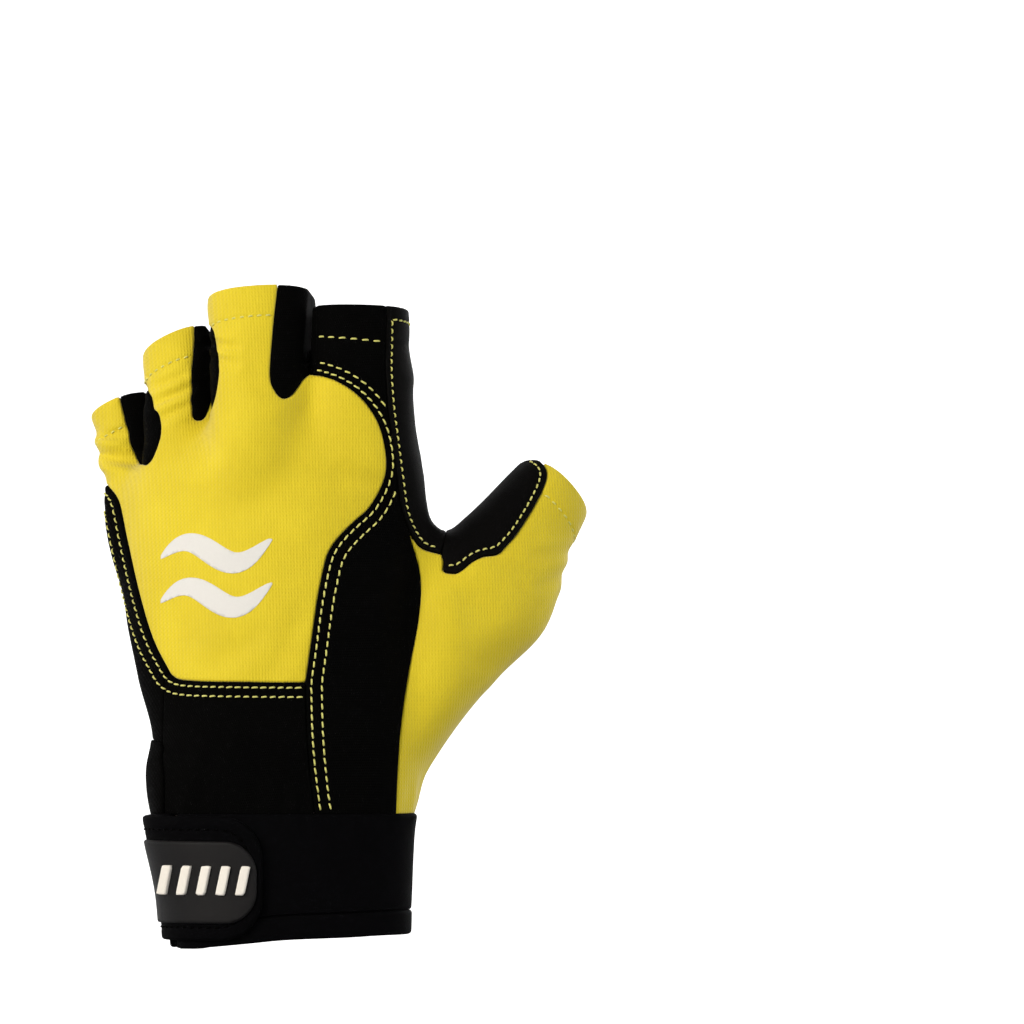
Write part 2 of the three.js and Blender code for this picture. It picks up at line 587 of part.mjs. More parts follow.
// The grip pad, one sheet with a lobe at the root of each finger, on top of the palm.
const padEdge = padRows.flatMap(({ lobeX, lobeZ, valleyX, valleyZ }, i) => {
  const fromX = i ? padRows[i - 1].valleyX : -52;
  return [[(fromX + lobeX * 2) / 3, lobeZ - 1.6], [lobeX, lobeZ], [(valleyX + lobeX * 2) / 3, lobeZ - 1.6],
    [valleyX, valleyZ]];
});
const padSpace = partSpace({ face: 'palm', of: Object.keys(bodyRows),
  runs: [[[-60, 97], [-60, 122]], [[-50, 125], ...padEdge], padFoot], raised: padThick + 2 }, 0);
addPiece('grip_pad', 'grip', handForm(seamGap + padThick, 4).subtract(handForm(seamGap, 8))
  .intersect(padSpace));

export default glove;
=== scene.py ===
import math

import bpy
import numpy as np
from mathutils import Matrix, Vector, noise
from mathutils.bvhtree import BVHTree


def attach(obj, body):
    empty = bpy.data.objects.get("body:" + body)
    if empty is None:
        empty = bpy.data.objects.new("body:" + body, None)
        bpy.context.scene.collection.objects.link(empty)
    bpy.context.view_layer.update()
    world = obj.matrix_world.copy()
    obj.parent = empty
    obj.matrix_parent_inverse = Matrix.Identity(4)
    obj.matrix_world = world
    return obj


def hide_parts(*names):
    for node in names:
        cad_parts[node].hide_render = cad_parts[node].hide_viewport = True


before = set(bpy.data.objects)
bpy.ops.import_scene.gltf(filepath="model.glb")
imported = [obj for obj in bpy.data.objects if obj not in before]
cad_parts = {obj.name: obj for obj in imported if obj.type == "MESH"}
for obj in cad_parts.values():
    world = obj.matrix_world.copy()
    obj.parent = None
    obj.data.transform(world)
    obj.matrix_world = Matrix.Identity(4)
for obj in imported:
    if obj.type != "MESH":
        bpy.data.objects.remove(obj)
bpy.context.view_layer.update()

# Sizes in millimetres. The glove is worked out in the numbers of its section tables, and everything
# is moved by WRIST_X and turned into metres when a mesh is made.
WRIST_X = 2.7
MM = 0.001
VOXEL = 0.95  # the size of the form's squares
ROUND = 2.3  # how full a section is, where 2 is an ellipse
CLOTH = 1.4  # how far the cloth reaches into the form
THREAD = 0.24  # half the width of a thread
HOLE = 0.75  # the radius of a perforation

# The glove's form, in the frame's own sections. The columns are x, y and z of the little-finger end,
# x, y and z of the thumb end, the depth, and the bow towards the back.
TRUNK = np.array([
    (-27.8, 0, -7, 32.7, 0, -7, 42, 0),
    (-28.9, 0, 12, 33.2, 0, 12, 42, 0),
    (-32.8, 0.5, 30, 34.2, 0, 30, 41.5, -0.5),
    (-34.6, 2, 43, 36.8, 0, 41, 40.5, -1),
    (-33.2, 5, 53, 36.6, 0, 55, 38.5, -3),
    (-37.1, 11, 67, 37.0, 1, 72, 36.5, -5),
    (-40.6, 19.5, 85, 37.6, 2, 92, 33, -8.5),
    (-42.2, 28, 102, 37.8, 2.5, 112, 29, -11.5),
    (-44.4, 33.5, 114, 34.6, 3, 132, 24, -13),
    (-43.6, 35.5, 119.5, 29.5, 3, 148, 15, -12.5),
], float)
STALLS = {
    "index": np.array([
        (12, 3, 96, 32.5, 3, 98, 17, 0),
        (9.2, 2.5, 115, 36.2, 2.5, 117, 24.5, 0),
        (7.6, 3, 131, 34.6, 3, 132, 26.5, 0),
        (6.6, 4, 148, 33.7, 4, 148, 26, 0),
        (6.6, 6, 164, 32.8, 5.5, 163.6, 24.5, 0),
    ], float),
    "middle": np.array([
        (-15.5, 6, 92, 5, 4.5, 95, 17, 0),
        (-18.6, 3.5, 113, 7.6, 1.5, 116, 24.5, 0),
        (-19.0, 3.8, 131, 8.4, 1, 132, 26.5, 0),
        (-18.5, 6.2, 148, 9.6, 3, 149, 25.8, 0),
        (-19.1, 11.5, 166.2, 9.6, 8, 168, 24.5, 0),
    ], float),
    "ring": np.array([
        (-32.0, 14.5, 86, -16.5, 9, 91, 15, 0),
        (-35.0, 19.5, 108, -14.6, 11, 113, 22, 0),
        (-34.8, 22.5, 124, -14.6, 13.5, 128.5, 23, 0),
        (-33.9, 26, 139, -15.2, 17.5, 143.5, 22, 0),
        (-34.9, 31, 149.8, -15.0, 23, 159.2, 21, 0),
    ], float),
    "little": np.array([
        (-36.5, 17.5, 76, -25, 12.5, 80, 12, 0),
        (-42.2, 27.5, 95, -28.6, 19.5, 99.5, 17.5, 0),
        (-44.6, 34.5, 110, -30.2, 24.8, 114.5, 20, 0),
        (-42.4, 39.3, 124.0, -31.6, 29.8, 127.5, 19.6, 0),
        (-48.1, 45, 134.6, -32.8, 34.5, 142.8, 19, 0),
    ], float),
    "thumb": np.array([
        (8, 4, 54, 34.4, 2, 37, 24, 0),
        (16, 5, 70, 43.9, 4, 53, 30, 0),
        (27, 6, 86, 55.3, 7, 67, 30, 0),
        (36, 8, 98.4, 67.2, 12, 79, 27.5, 0),
        (43.6, 10, 105.4, 71.4, 17, 90, 25.5, 0),
        (51.5, 13.5, 112.4, 73.4, 21, 99.5, 23.5, 0),
        (58.3, 17, 119, 75.6, 24, 105, 22, 0),
        (64.2, 20.5, 124.6, 77.2, 27, 108.8, 20, 0),
    ], float),
}
BODIES = {"trunk": TRUNK, **STALLS}
NAMES = list(BODIES)

# The web of cloth in the crotch of the thumb.
WEB = np.array([
    (30, 2.5, 90, 46, 6, 90, 16, 0),
    (34, 3, 97, 45, 6, 95, 14, 0),
    (36, 3.5, 104.4, 44, 6, 100.4, 11, 0),
    (37.5, 4, 109.6, 42.7, 5.5, 104.1, 8, 0),
], float)

# While the form is joined, each stall is moved aside by the first number, above the level that follows.
OPENING = 11
APART = {"trunk": (0, 0), "index": (5.0, 144.5), "middle": (-1.2, 144.5), "ring": (-3.8, 132),
         "little": (-7.2, 122), "thumb": (0, 0)}

# Seams, each a smooth run through a few (x, z) knots as seen from the back or from the palm.
SEAMS = {
    "cuff_top_palm": [(-80, 33), (-34, 32.4), (-17, 27.5), (1, 25), (19, 27), (35, 32.4), (80, 33)],
    "cuff_low_back": [(-80, -2.3), (-27, -2.1), (-19, -1.6), (-8.6, -0.6), (1.8, 0.4), (17.4, 1), (33, 1.6),
                      (80, 1.8)],
    "cuff_low_palm": [(-80, -2.3), (-27, -1.9), (1, -0.4), (33, 1.6), (80, 1.8)],
    "yellow_right": [(7.8, 147.1), (13.5, 145.5), (18.2, 143), (22.2, 139.4), (25.5, 134.3), (27.2, 128.5),
                     (27.6, 122), (25.6, 116.3), (22.8, 111.9), (19.6, 109.1), (15.6, 105.2), (13.2, 102),
                     (11.7, 98.4), (9.5, 87.7), (7.7, 74.5), (6.6, 67.1)],
    "yellow_bottom": [(6.6, 67.1), (-10.9, 67.2), (-25.5, 67.6), (-28.9, 69.1)],
    "yellow_left": [(-28.9, 69.1), (-33.7, 78.2), (-37.6, 90.6), (-41, 104.9), (-43.1, 114.2),
                    (-46.2, 118.2)],
    "gusset_one": [(-0.6, 172), (-1.9, 160), (-2.8, 147), (-1.6, 142.8), (0.7, 140.7), (3.2, 141.4),
                   (5.1, 143.8), (6.3, 145.7), (8, 147.3)],
    "gusset_two": [(-22.7, 162), (-22.8, 155), (-23.4, 145), (-23.4, 138.5), (-22.6, 135.6), (-20.6, 135.4),
                   (-18.9, 137.6), (-17.4, 142), (-16.6, 147.5), (-16.8, 151.5), (-17.6, 155.6),
                   (-18.1, 158.2), (-19.4, 159.9)],
    "gusset_three": [(-43.4, 143.5), (-40.9, 134), (-38.6, 126.4), (-36.7, 123.6), (-34.6, 124.4),
                     (-33, 127.6), (-31.8, 131.5), (-32, 135.8), (-33.7, 138.6), (-34.4, 141.2),
                     (-35.8, 143.4)],
    "strip_back": [(27.6, 172), (27.3, 156), (27.2, 148.6), (27.8, 139), (28.8, 131), (30.3, 119.4),
                   (31.4, 111.5), (33.4, 106)],
    "strip_foot": [(33.4, 106), (36.6, 101.8), (41.7, 100.3)],
    "strip_palm": [(24.6, 172), (25, 161), (25.5, 146), (27.5, 130), (30, 118), (34, 108), (38.5, 101)],
    "patch_foot": [(62, 127), (67.4, 124.4), (69.1, 120.4), (66.2, 113.5), (61.4, 105.8), (58.5, 102.5),
                   (56.3, 100.3), (52.7, 99.8), (49.8, 98.5), (46.1, 95.6), (43.9, 95.4), (42.1, 96),
                   (42.2, 98.4), (41.7, 100.3)],
    "patch_palm": [(37, 97), (44, 102.5), (51, 108), (58, 114.5), (63.5, 121), (67, 128)],
    "thumb_back": [(33.4, 106), (36.1, 95.2), (35.7, 84.3), (33.5, 71), (31.5, 56.9), (30.5, 43),
                   (29.7, 20)],
    "thumb_palm": [(73.5, 122), (66, 107), (57, 90), (50, 79.5), (41, 70), (30, 59), (23.5, 49),
                   (19.5, 39), (17, 20)],
    "low": [(6.6, 67.1), (6.9, 55), (7.6, 45), (9, 33.4), (11, 20)],
    "wrist_back": [(-30.5, 20), (-30.2, 38), (-30.8, 47), (-33.2, 52), (-60, 53.5)],
    "wrist_palm": [(-30.5, 20), (-30, 36), (-31, 45), (-34, 52), (-60, 53.5)],
    "ulnar": [(-30.8, 47), (-30.6, 60), (-30.2, 69)],
}


def rev(name):
    return SEAMS[name][::-1]


# Panels in the order in which they lie over one another: outline on the back, outline on the palm,
# the material, and how far the panel stands proud.
# A panel with one outline stops at the side of the glove, and one with two runs round it.
FAR = 190
PANELS = {
    "gusset_index_middle": dict(
        back=[SEAMS["gusset_one"], [(8.8, 149)], [(9.0, 152)], [(9.0, FAR)], [(-0.6, FAR)]],
        palm=[[(3.6, 145), (5.4, 140.4), (8, 139), (10.6, 140.4), (12.4, 145)], [(12.6, FAR)], [(3.4, FAR)]],
        look="stretch", proud=-0.15),
    "gusset_middle_ring": dict(
        back=[SEAMS["gusset_two"], [(-19.4, 160.6)], [(-22.7, 160.6)]],
        palm=[[(-21.2, 142), (-19.6, 137.4), (-17, 136), (-14.4, 137.4), (-12.8, 142)],
              [(-12.6, FAR)], [(-21.6, FAR)]],
        look="stretch", proud=-0.15),
    "gusset_ring_little": dict(
        back=[SEAMS["gusset_three"], [(-35.8, 144.2)], [(-43.4, 144.2)]],
        palm=[[(-38, 130), (-36.4, 126), (-33.4, 124.4), (-30.4, 126), (-28.8, 130)],
              [(-28.4, FAR)], [(-38.4, FAR)]],
        look="stretch", proud=-0.15),
    "index_side_strip": dict(
        back=[SEAMS["strip_back"], SEAMS["strip_foot"], [(41.7, 100.3)], [(43.2, 108.5)], [(45, 116)],
              [(45, 172)]],
        palm=[SEAMS["strip_palm"], [(38.5, 101)], [(43.2, 106)], [(45, 116)], [(45, 172)]],
        look="leather", proud=0.45),
    "thumb_patch": dict(
        back=[SEAMS["patch_foot"], [(41.7, 100.3)], [(43.2, 108.5)], [(40, 118)], [(58, 140)]],
        palm=[SEAMS["patch_palm"], [(64, 140)], [(40, 122)], [(36, 104)]],
        look="leather", proud=0.5),
    "back_panel": dict(
        back=[SEAMS["yellow_right"], SEAMS["yellow_bottom"], SEAMS["yellow_left"], [(-46.2, 118.2)],
              [(-70, 118.2)], [(-70, FAR)], [(7.8, FAR)]],
        look="yellow", proud=0.0),
    "index_back_panel": dict(
        back=[[(6, FAR)], [(6, 149)], SEAMS["yellow_right"], SEAMS["low"], rev("thumb_back"),
              [(33.4, 106)], [(60, 112)], [(60, FAR)]],
        look="stretch", proud=0.3),
    "thumb_panel": dict(
        back=[SEAMS["thumb_back"], [(29.7, 15)], [(110, 15)], [(110, 140)], [(44, 140)]],
        palm=[SEAMS["thumb_palm"], [(17, 15)], [(110, 15)], [(110, 140)]],
        look="yellow", proud=0.1),
    "wrist_gusset": dict(
        back=[SEAMS["wrist_back"], [(-60, 20)]], palm=[SEAMS["wrist_palm"], [(-60, 20)]],
        look="stretch", proud=0.7),
    "ulnar_strip": dict(
        back=[SEAMS["ulnar"], SEAMS["yellow_left"], [(-70, 118.2)], [(-70, 50)]],
        look="stretch", proud=0.25),
    "lower_back_panel": dict(
        back=[[(6, 72)], [(10, 66)], [(10, 55)], [(12, 33)], [(14, 20)], [(-36, 20)], [(-36, 72)]],
        look="stretch", proud=0.25),
}


# Sections and their frames
def catmull(rows, count):
    """Rows smoothed to count samples."""
    knots = np.vstack([2 * rows[0] - rows[1], rows, 2 * rows[-1] - rows[-2]])
    t = np.linspace(0, len(rows) - 1, count)
    i = np.minimum(t.astype(int), len(rows) - 2)
    f = (t - i)[:, None]
    a, b, c, d = knots[i], knots[i + 1], knots[i + 2], knots[i + 3]
    return 0.5 * (2 * b + (c - a) * f + (2 * a - 5 * b + 4 * c - d) * f**2 + (3 * b - a - 3 * c + d) * f**3)


def unit(v):
    """Vectors of length one."""
    return v / np.maximum(np.linalg.norm(v, axis=-1, keepdims=True), 1e-9)


def ramp(low, high, x):
    """A smooth step from 0 at low to 1 at high."""
    t = np.clip((x - low) / (high - low), 0, 1)
    return t * t * (3 - 2 * t)


def sections(rows, apart=(0, 0), count=70):
    """Smooth sections through the rows: middle, three directions, half width, half depth and bow."""
    s = catmull(rows, count)
    left, right = s[:, :3].copy(), s[:, 3:6].copy()
    if apart[0]:
        aside = apart[0] * ramp(apart[1], apart[1] + OPENING, (left[:, 2] + right[:, 2]) / 2)
        left[:, 0] += aside
        right[:, 0] += aside
    mid = (left + right) / 2
    across = unit(right - left)
    along = unit(np.gradient(mid, axis=0))
    through = unit(np.cross(along, across))
    along = unit(np.cross(across, through))
    half = np.linalg.norm(right - left, axis=1) / 2
    return dict(mid=mid, along=along, across=across, through=through, wide=half, deep=s[:, 6] / 2,
                bow=s[:, 7])


def tube(sec, sides=64, start=3.0, end=7.0):
    """A closed tube through the sections, run on past both ends."""
    a = np.linspace(0, 2 * math.pi, sides, endpoint=False)
    c, s = np.cos(a), np.sin(a)
    c = np.sign(c) * np.abs(c) ** (2 / ROUND)
    s = np.sign(s) * np.abs(s) ** (2 / ROUND)
    mid = np.vstack([sec["mid"][:1] - sec["along"][:1] * start, sec["mid"],
                     sec["mid"][-1:] + sec["along"][-1:] * end])
    pick = np.r_[0, np.arange(len(sec["mid"])), len(sec["mid"]) - 1]
    wide, deep, bow = (sec[k][pick][:, None, None] for k in ("wide", "deep", "bow"))
    ring = (mid[:, None] + sec["across"][pick][:, None] * wide * c[None, :, None]
            + sec["through"][pick][:, None] * (deep * s[None, :, None] + bow * (1 - c[None, :, None] ** 2)))
    n = len(pick)
    verts = np.vstack([ring.reshape(-1, 3), ring[0].mean(0)[None], ring[-1].mean(0)[None]])
    faces = []
    for i in range(n - 1):
        for j in range(sides):
            k = (j + 1) % sides
            faces.append((i * sides + j, i * sides + k, (i + 1) * sides + k, (i + 1) * sides + j))
    low, high = n * sides, n * sides + 1
    for j in range(sides):
        k = (j + 1) % sides
        faces.append((low, k, j))
        faces.append((high, (n - 1) * sides + j, (n - 1) * sides + k))
    return verts, faces


def measure(sec, points, batch=6000):
    """How far points lie through a body from its middle surface, below its rim, and outside it."""
    out = {key: np.empty(len(points)) for key in ("through", "below_rim", "outside")}
    count = len(sec["mid"])
    for at in range(0, len(points), batch):
        p = points[at:at + batch]
        gap = p[:, None] - sec["mid"][None]
        h = np.einsum("ijk,jk->ij", gap, sec["along"])
        k = np.argmin(h * h + 0.03 * np.einsum("ijk,ijk->ij", gap, gap), axis=1)
        i = np.arange(len(p))
        n = np.clip(k + np.where(h[i, k] > 0, 1, -1), 0, count - 1)
        w = np.where(n == k, 0, h[i, k] / np.where(h[i, k] == h[i, n], 1, h[i, k] - h[i, n]))
        w = np.clip(w, 0, 1)[:, None]

        def mix(name):
            v = sec[name]
            v = v if v.ndim > 1 else v[:, None]
            return v[k] * (1 - w) + v[n] * w

        rel = p - mix("mid")
        u = np.einsum("ij,ij->i", rel, unit(mix("across")))
        wide, deep, bow = (mix(x)[:, 0] for x in ("wide", "deep", "bow"))
        v = np.einsum("ij,ij->i", rel, unit(mix("through"))) - bow * (1 - np.clip(u / wide, -1, 1) ** 2)
        rho = (np.abs(u / wide) ** ROUND + np.abs(v / deep) ** ROUND) ** (1 / ROUND)
        past = np.maximum(h[:, -1] * (k == count - 1), -h[:, 0] * (k == 0))
        sd = (rho - 1) * np.minimum(wide, deep)
        out["through"][at:at + batch] = v
        out["below_rim"][at:at + batch] = -h[:, -1]
        out["outside"][at:at + batch] = np.where(past > 0, np.maximum(sd, past * 0.8), sd)
    return out


# The joined form
def new_mesh(name, verts, faces):
    me = bpy.data.meshes.new(name)
    me.from_pydata(verts, [], faces)
    me.update()
    ob = bpy.data.objects.new(name, me)
    bpy.context.scene.collection.objects.link(ob)
    return ob


def joined_form():
    """The tubes joined by a voxel remesh, with quads of about VOXEL."""
    verts, faces, base = [], [], 0
    for name, rows in {**BODIES, "web": WEB}.items():
        sec = sections(rows, APART.get(name, (0, 0)))
        v, f = tube(sec, start=3 if name == "trunk" else 0.1, end=7 if name in STALLS else 0.1)
        verts.append(v)
        faces += [tuple(i + base for i in face) for face in f]
        base += len(v)
    ob = new_mesh("form", np.vstack(verts).tolist(), faces)
    mod = ob.modifiers.new("join", "REMESH")
    mod.mode = "VOXEL"
    mod.voxel_size = VOXEL
    mod.adaptivity = 0
    dg = bpy.context.evaluated_depsgraph_get()
    me = ob.evaluated_get(dg).to_mesh()
    points = np.empty(len(me.vertices) * 3)
    me.vertices.foreach_get("co", points)
    quads = np.array([p.vertices for p in me.polygons])
    bpy.data.objects.remove(ob)
    return points.reshape(-1, 3), quads[:, [0, 1, 2, 0, 2, 3]].reshape(-1, 3)


def edges_of(tris):
    """Every edge once, as a pair of points."""
    e = np.sort(np.vstack([tris[:, [0, 1]], tris[:, [1, 2]], tris[:, [2, 0]]]), axis=1)
    return np.unique(e, axis=0)


def smoothed(points, edges, times, weight):
    """Points drawn towards the middle of their neighbours."""
    count = np.bincount(edges.ravel(), minlength=len(points))[:, None]
    for _ in range(times):
        total = np.zeros_like(points)
        for axis in range(3):
            total[:, axis] = (np.bincount(edges[:, 0], points[edges[:, 1], axis], len(points))
                              + np.bincount(edges[:, 1], points[edges[:, 0], axis], len(points)))
        points = points + (total / np.maximum(count, 1) - points) * weight
    return points


def normals_of(points, tris):
    """The direction out of the surface at every point."""
    n = np.cross(points[tris[:, 1]] - points[tris[:, 0]], points[tris[:, 2]] - points[tris[:, 0]])
    out = np.zeros_like(points)
    for axis in range(3):
        for corner in range(3):
            out[:, axis] += np.bincount(tris[:, corner], n[:, axis], len(points))
    return unit(out)


def knots(run, per=4):
    """A seam's knots as a smooth line."""
    run = np.array(run, float)
    return catmull(run, (len(run) - 1) * per + 1) if len(run) > 2 else run


def outline(runs):
    """Runs of knots joined into one closed outline."""
    pts = np.vstack([knots(r) for r in runs])
    keep = np.linalg.norm(pts - np.roll(pts, 1, axis=0), axis=1) > 0.02
    return pts[keep]


def to_line(points, line, closed=False):
    """Distance from 2-D points to a polyline."""
    a = line
    b = np.roll(line, -1, axis=0)
    if not closed:
        a, b = a[:-1], b[:-1]
    best = np.full(len(points), 1e9)
    for p, q in zip(a, b):
        d = q - p
        t = np.clip(((points - p) @ d) / max(d @ d, 1e-12), 0, 1)
        best = np.minimum(best, np.linalg.norm(points - p - t[:, None] * d, axis=1))
    return best


def inside(points, ring):
    """Distance to a closed outline, positive inside it."""
    far = to_line(points, ring, True)
    odd = np.zeros(len(points), bool)
    for p, q in zip(ring, np.roll(ring, -1, axis=0)):
        if p[1] == q[1]:
            continue
        over = (p[1] > points[:, 1]) != (q[1] > points[:, 1])
        x = p[0] + (points[:, 1] - p[1]) / (q[1] - p[1]) * (q[0] - p[0])
        odd ^= over & (points[:, 0] < x)
    return np.where(odd, far, -far)


def level_at(x, name):
    """The height of a seam at x."""
    line = knots(SEAMS[name])
    return np.interp(x, line[:, 0], line[:, 1])


# The joined form: the forks are smoothed well, the rest a little, and then the stalls are moved back.
print("form")
FORK_REACH = 9.0
SHARE_REACH = 1.6
GRASP_REACH = 0.5
points, tris = joined_form()
edges = edges_of(tris)
dist = np.stack([measure(sections(BODIES[n], APART[n]), points)["outside"] for n in NAMES])
near = np.sort(dist, axis=0)
fork = np.clip(1 - (near[1] - near[0]) / FORK_REACH, 0, 1)[:, None]
points = smoothed(points, edges, 4, 0.5)
points = smoothed(points, edges, 45, 0.5 * fork)
label = np.argmin(dist, axis=0)
share = np.exp(-(dist - dist.min(0)) / SHARE_REACH)
share /= share.sum(0)
grasp = np.exp(-(dist - dist.min(0)) / GRASP_REACH)
grasp /= grasp.sum(0)
shift = np.zeros(len(points))
for i, name in enumerate(NAMES):
    aside, level = APART[name]
    shift += grasp[i] * aside * ramp(level, level + OPENING, points[:, 2])
points[:, 0] -= shift

# The index and middle stalls press on each other along a slanted face.
PRESS_X, PRESS_Y, PRESS_SLANT = 8.1, 4.5, 0.2
PRESS_GAP = 0.3
face_x = PRESS_X + PRESS_SLANT * (points[:, 1] - PRESS_Y)
press = ramp(148, 153, points[:, 2])
for name, side in (("middle", 1), ("index", -1)):
    room = side * (face_x - points[:, 0]) - PRESS_GAP
    free = 0.5 * (room + np.sqrt(room * room + 0.06))
    moved = face_x - side * (free + PRESS_GAP)
    points[:, 0] = np.where(label == NAMES.index(name), points[:, 0] * (1 - press) + moved * press,
                            points[:, 0])

# Fields on the form: height over its middle surface towards the back, distance below the rim of a
# stall, and how far a point belongs to the palm.
place = {name: measure(sections(rows), points) for name, rows in BODIES.items()}
dorsal = -sum(share[i] * place[name]["through"] for i, name in enumerate(NAMES))
rim = np.full(len(points), 30.0)
for i, name in enumerate(NAMES):
    if name in STALLS:
        rim = np.where(label == i, place[name]["below_rim"], rim)
palmward = ramp(-1.5, 1.5, -dorsal)

# Creases, folds and gathers, each row a valley: two ends, depth, half width and the face it is on.
CREASE = ("x0", "z0", "x1", "z1", "depth", "wide", "face")
CREASES = [
    (33.5, 101, 35, 62, 1.5, 4.5, "back"),
    (40, 98, 52, 86, 0.6, 3.5, "back"),
    (36, 40, 50, 62, 0.5, 3.0, "back"),
    (68, 92, 77, 97, 0.5, 1.4, "back"),
    (66, 100, 76, 101, 0.35, 1.3, "back"),
    (-50, 126.8, -39, 124.6, 1.4, 1.5, "back"),
    (-47, 131, -41.5, 131.5, 0.4, 1.0, "back"),
    (-34, 143.4, -25.5, 146.8, 0.75, 1.0, "back"),
    (-33.6, 139.6, -24.4, 143.4, 0.95, 1.2, "back"),
    (-32, 135.6, -25, 138.6, 0.7, 1.2, "back"),
    (-19.5, 155, -11.5, 154, 0.8, 1.0, "back"),
    (-18.5, 151.4, -12, 149.4, 0.6, 1.1, "back"),
    (-8, 146, -3, 141, 0.35, 1.8, "back"),
    (16, 121, 26.5, 118.6, 0.3, 1.8, "back"),
    (-18, 71, -4, 80, 0.35, 2.6, "back"),
    (-2, 70, 5, 84, 0.3, 2.4, "back"),
    (-20, 33, -17, 52, 0.35, 2.2, "back"),
    (22, 33, 19, 50, 0.35, 2.4, "back"),
    (39, 99, 24, 90, 1.5, 1.6, "palm"),
    (39, 95, 27, 79, 1.4, 1.5, "palm"),
    (40, 97, 38, 78, 1.6, 1.3, "palm"),
    (38, 103, 27, 101, 1.3, 1.4, "palm"),
    (30, 104, -30, 93, 0.6, 3.0, "palm"),
    (12, 34, 16, 60, 0.5, 3.0, "palm"),
    (47, 66, 37, 60, 0.5, 1.5, "palm"),
]
flat = points[:, [0, 2]]
normal = normals_of(points, tris)
push = np.zeros(len(points))
for row in CREASES:
    c = dict(zip(CREASE, row))
    line = np.array([(c["x0"], c["z0"]), (c["x1"], c["z1"])])
    d = line[1] - line[0]
    t = np.clip(((flat - line[0]) @ d) / (d @ d), 0, 1)
    off = np.linalg.norm(flat - line[0] - t[:, None] * d, axis=1)
    face = palmward if c["face"] == "palm" else 1 - palmward
    shape = np.exp(-(off / c["wide"]) ** 2) - 0.45 * np.exp(-((off - 2.2 * c["wide"]) / c["wide"]) ** 2)
    push -= c["depth"] * shape * face * np.sin(math.pi * np.clip(0.1 + 0.8 * t, 0, 1)) ** 0.5
SOFT_WIDE, SOFT_TALL, SOFT_DEEP = 15, 21, 0.35
soft = np.array([noise.noise(Vector((x / SOFT_WIDE, y / SOFT_WIDE, z / SOFT_TALL))) for x, y, z in points])
push += SOFT_DEEP * soft * ramp(34, 48, points[:, 2]) * ramp(2, 10, rim)
GATHERS, GATHER_Z, GATHER_TALL, GATHER_DEEP = 23, 37, 5.5, 0.22
around = np.arctan2(points[:, 1], points[:, 0] - WRIST_X)
gather = np.sin(around * GATHERS + 1.3 * np.sin(around * 5))
push += GATHER_DEEP * gather * np.exp(-((points[:, 2] - GATHER_Z) / GATHER_TALL) ** 2)
points = points + normal * push[:, None]
normal = normals_of(points, tris)
flat = points[:, [0, 2]]

CUFF_TOP_BACK = 33
cuff_top = CUFF_TOP_BACK * (1 - palmward) + level_at(flat[:, 0], "cuff_top_palm") * palmward - flat[:, 1]
cuff_low = flat[:, 1] - (level_at(flat[:, 0], "cuff_low_back") * (1 - palmward)
                         + level_at(flat[:, 0], "cuff_low_palm") * palmward)


def panel_field(spec):
    """Distance inside a panel's outlines."""
    back = inside(flat, outline(spec["back"]))
    if "palm" not in spec:
        return np.minimum(back, dorsal)
    palm = inside(flat, outline(spec["palm"]))
    return back * (1 - palmward) + palm * palmward


print("fields")
fields = {}
taken = np.full(len(points), -1e9)
for name, spec in PANELS.items():
    own = panel_field(spec)
    fields[name] = np.minimum(own, -taken)
    taken = np.maximum(taken, own)
fields["palm_panel"] = -taken
UNDER_CUFF = 0.3
for name in fields:
    fields[name] = np.minimum(fields[name], np.minimum(rim, UNDER_CUFF - cuff_top))

# Perforations in the palm, as distances to the nearest one.
HOLES = np.array([(x + sx * i, z + sz * i) for x, z, sx, sz in (
    (19.5, 109.5, -13.4, -4.4), (21, 98, -13.8, -4.6), (6, 81.5, -13.4, -4.5)) for i in range(4)])
to_hole = flat[:, None] - HOLES[None]
near_hole = np.linalg.norm(to_hole, axis=2)
pick = near_hole.argmin(axis=1)
hole_x, hole_z = to_hole[np.arange(len(flat)), pick].T
hole_r = near_hole.min(axis=1) + 50 * (1 - palmward)
fields["palm_panel"] = np.minimum(fields["palm_panel"], hole_r - HOLE)

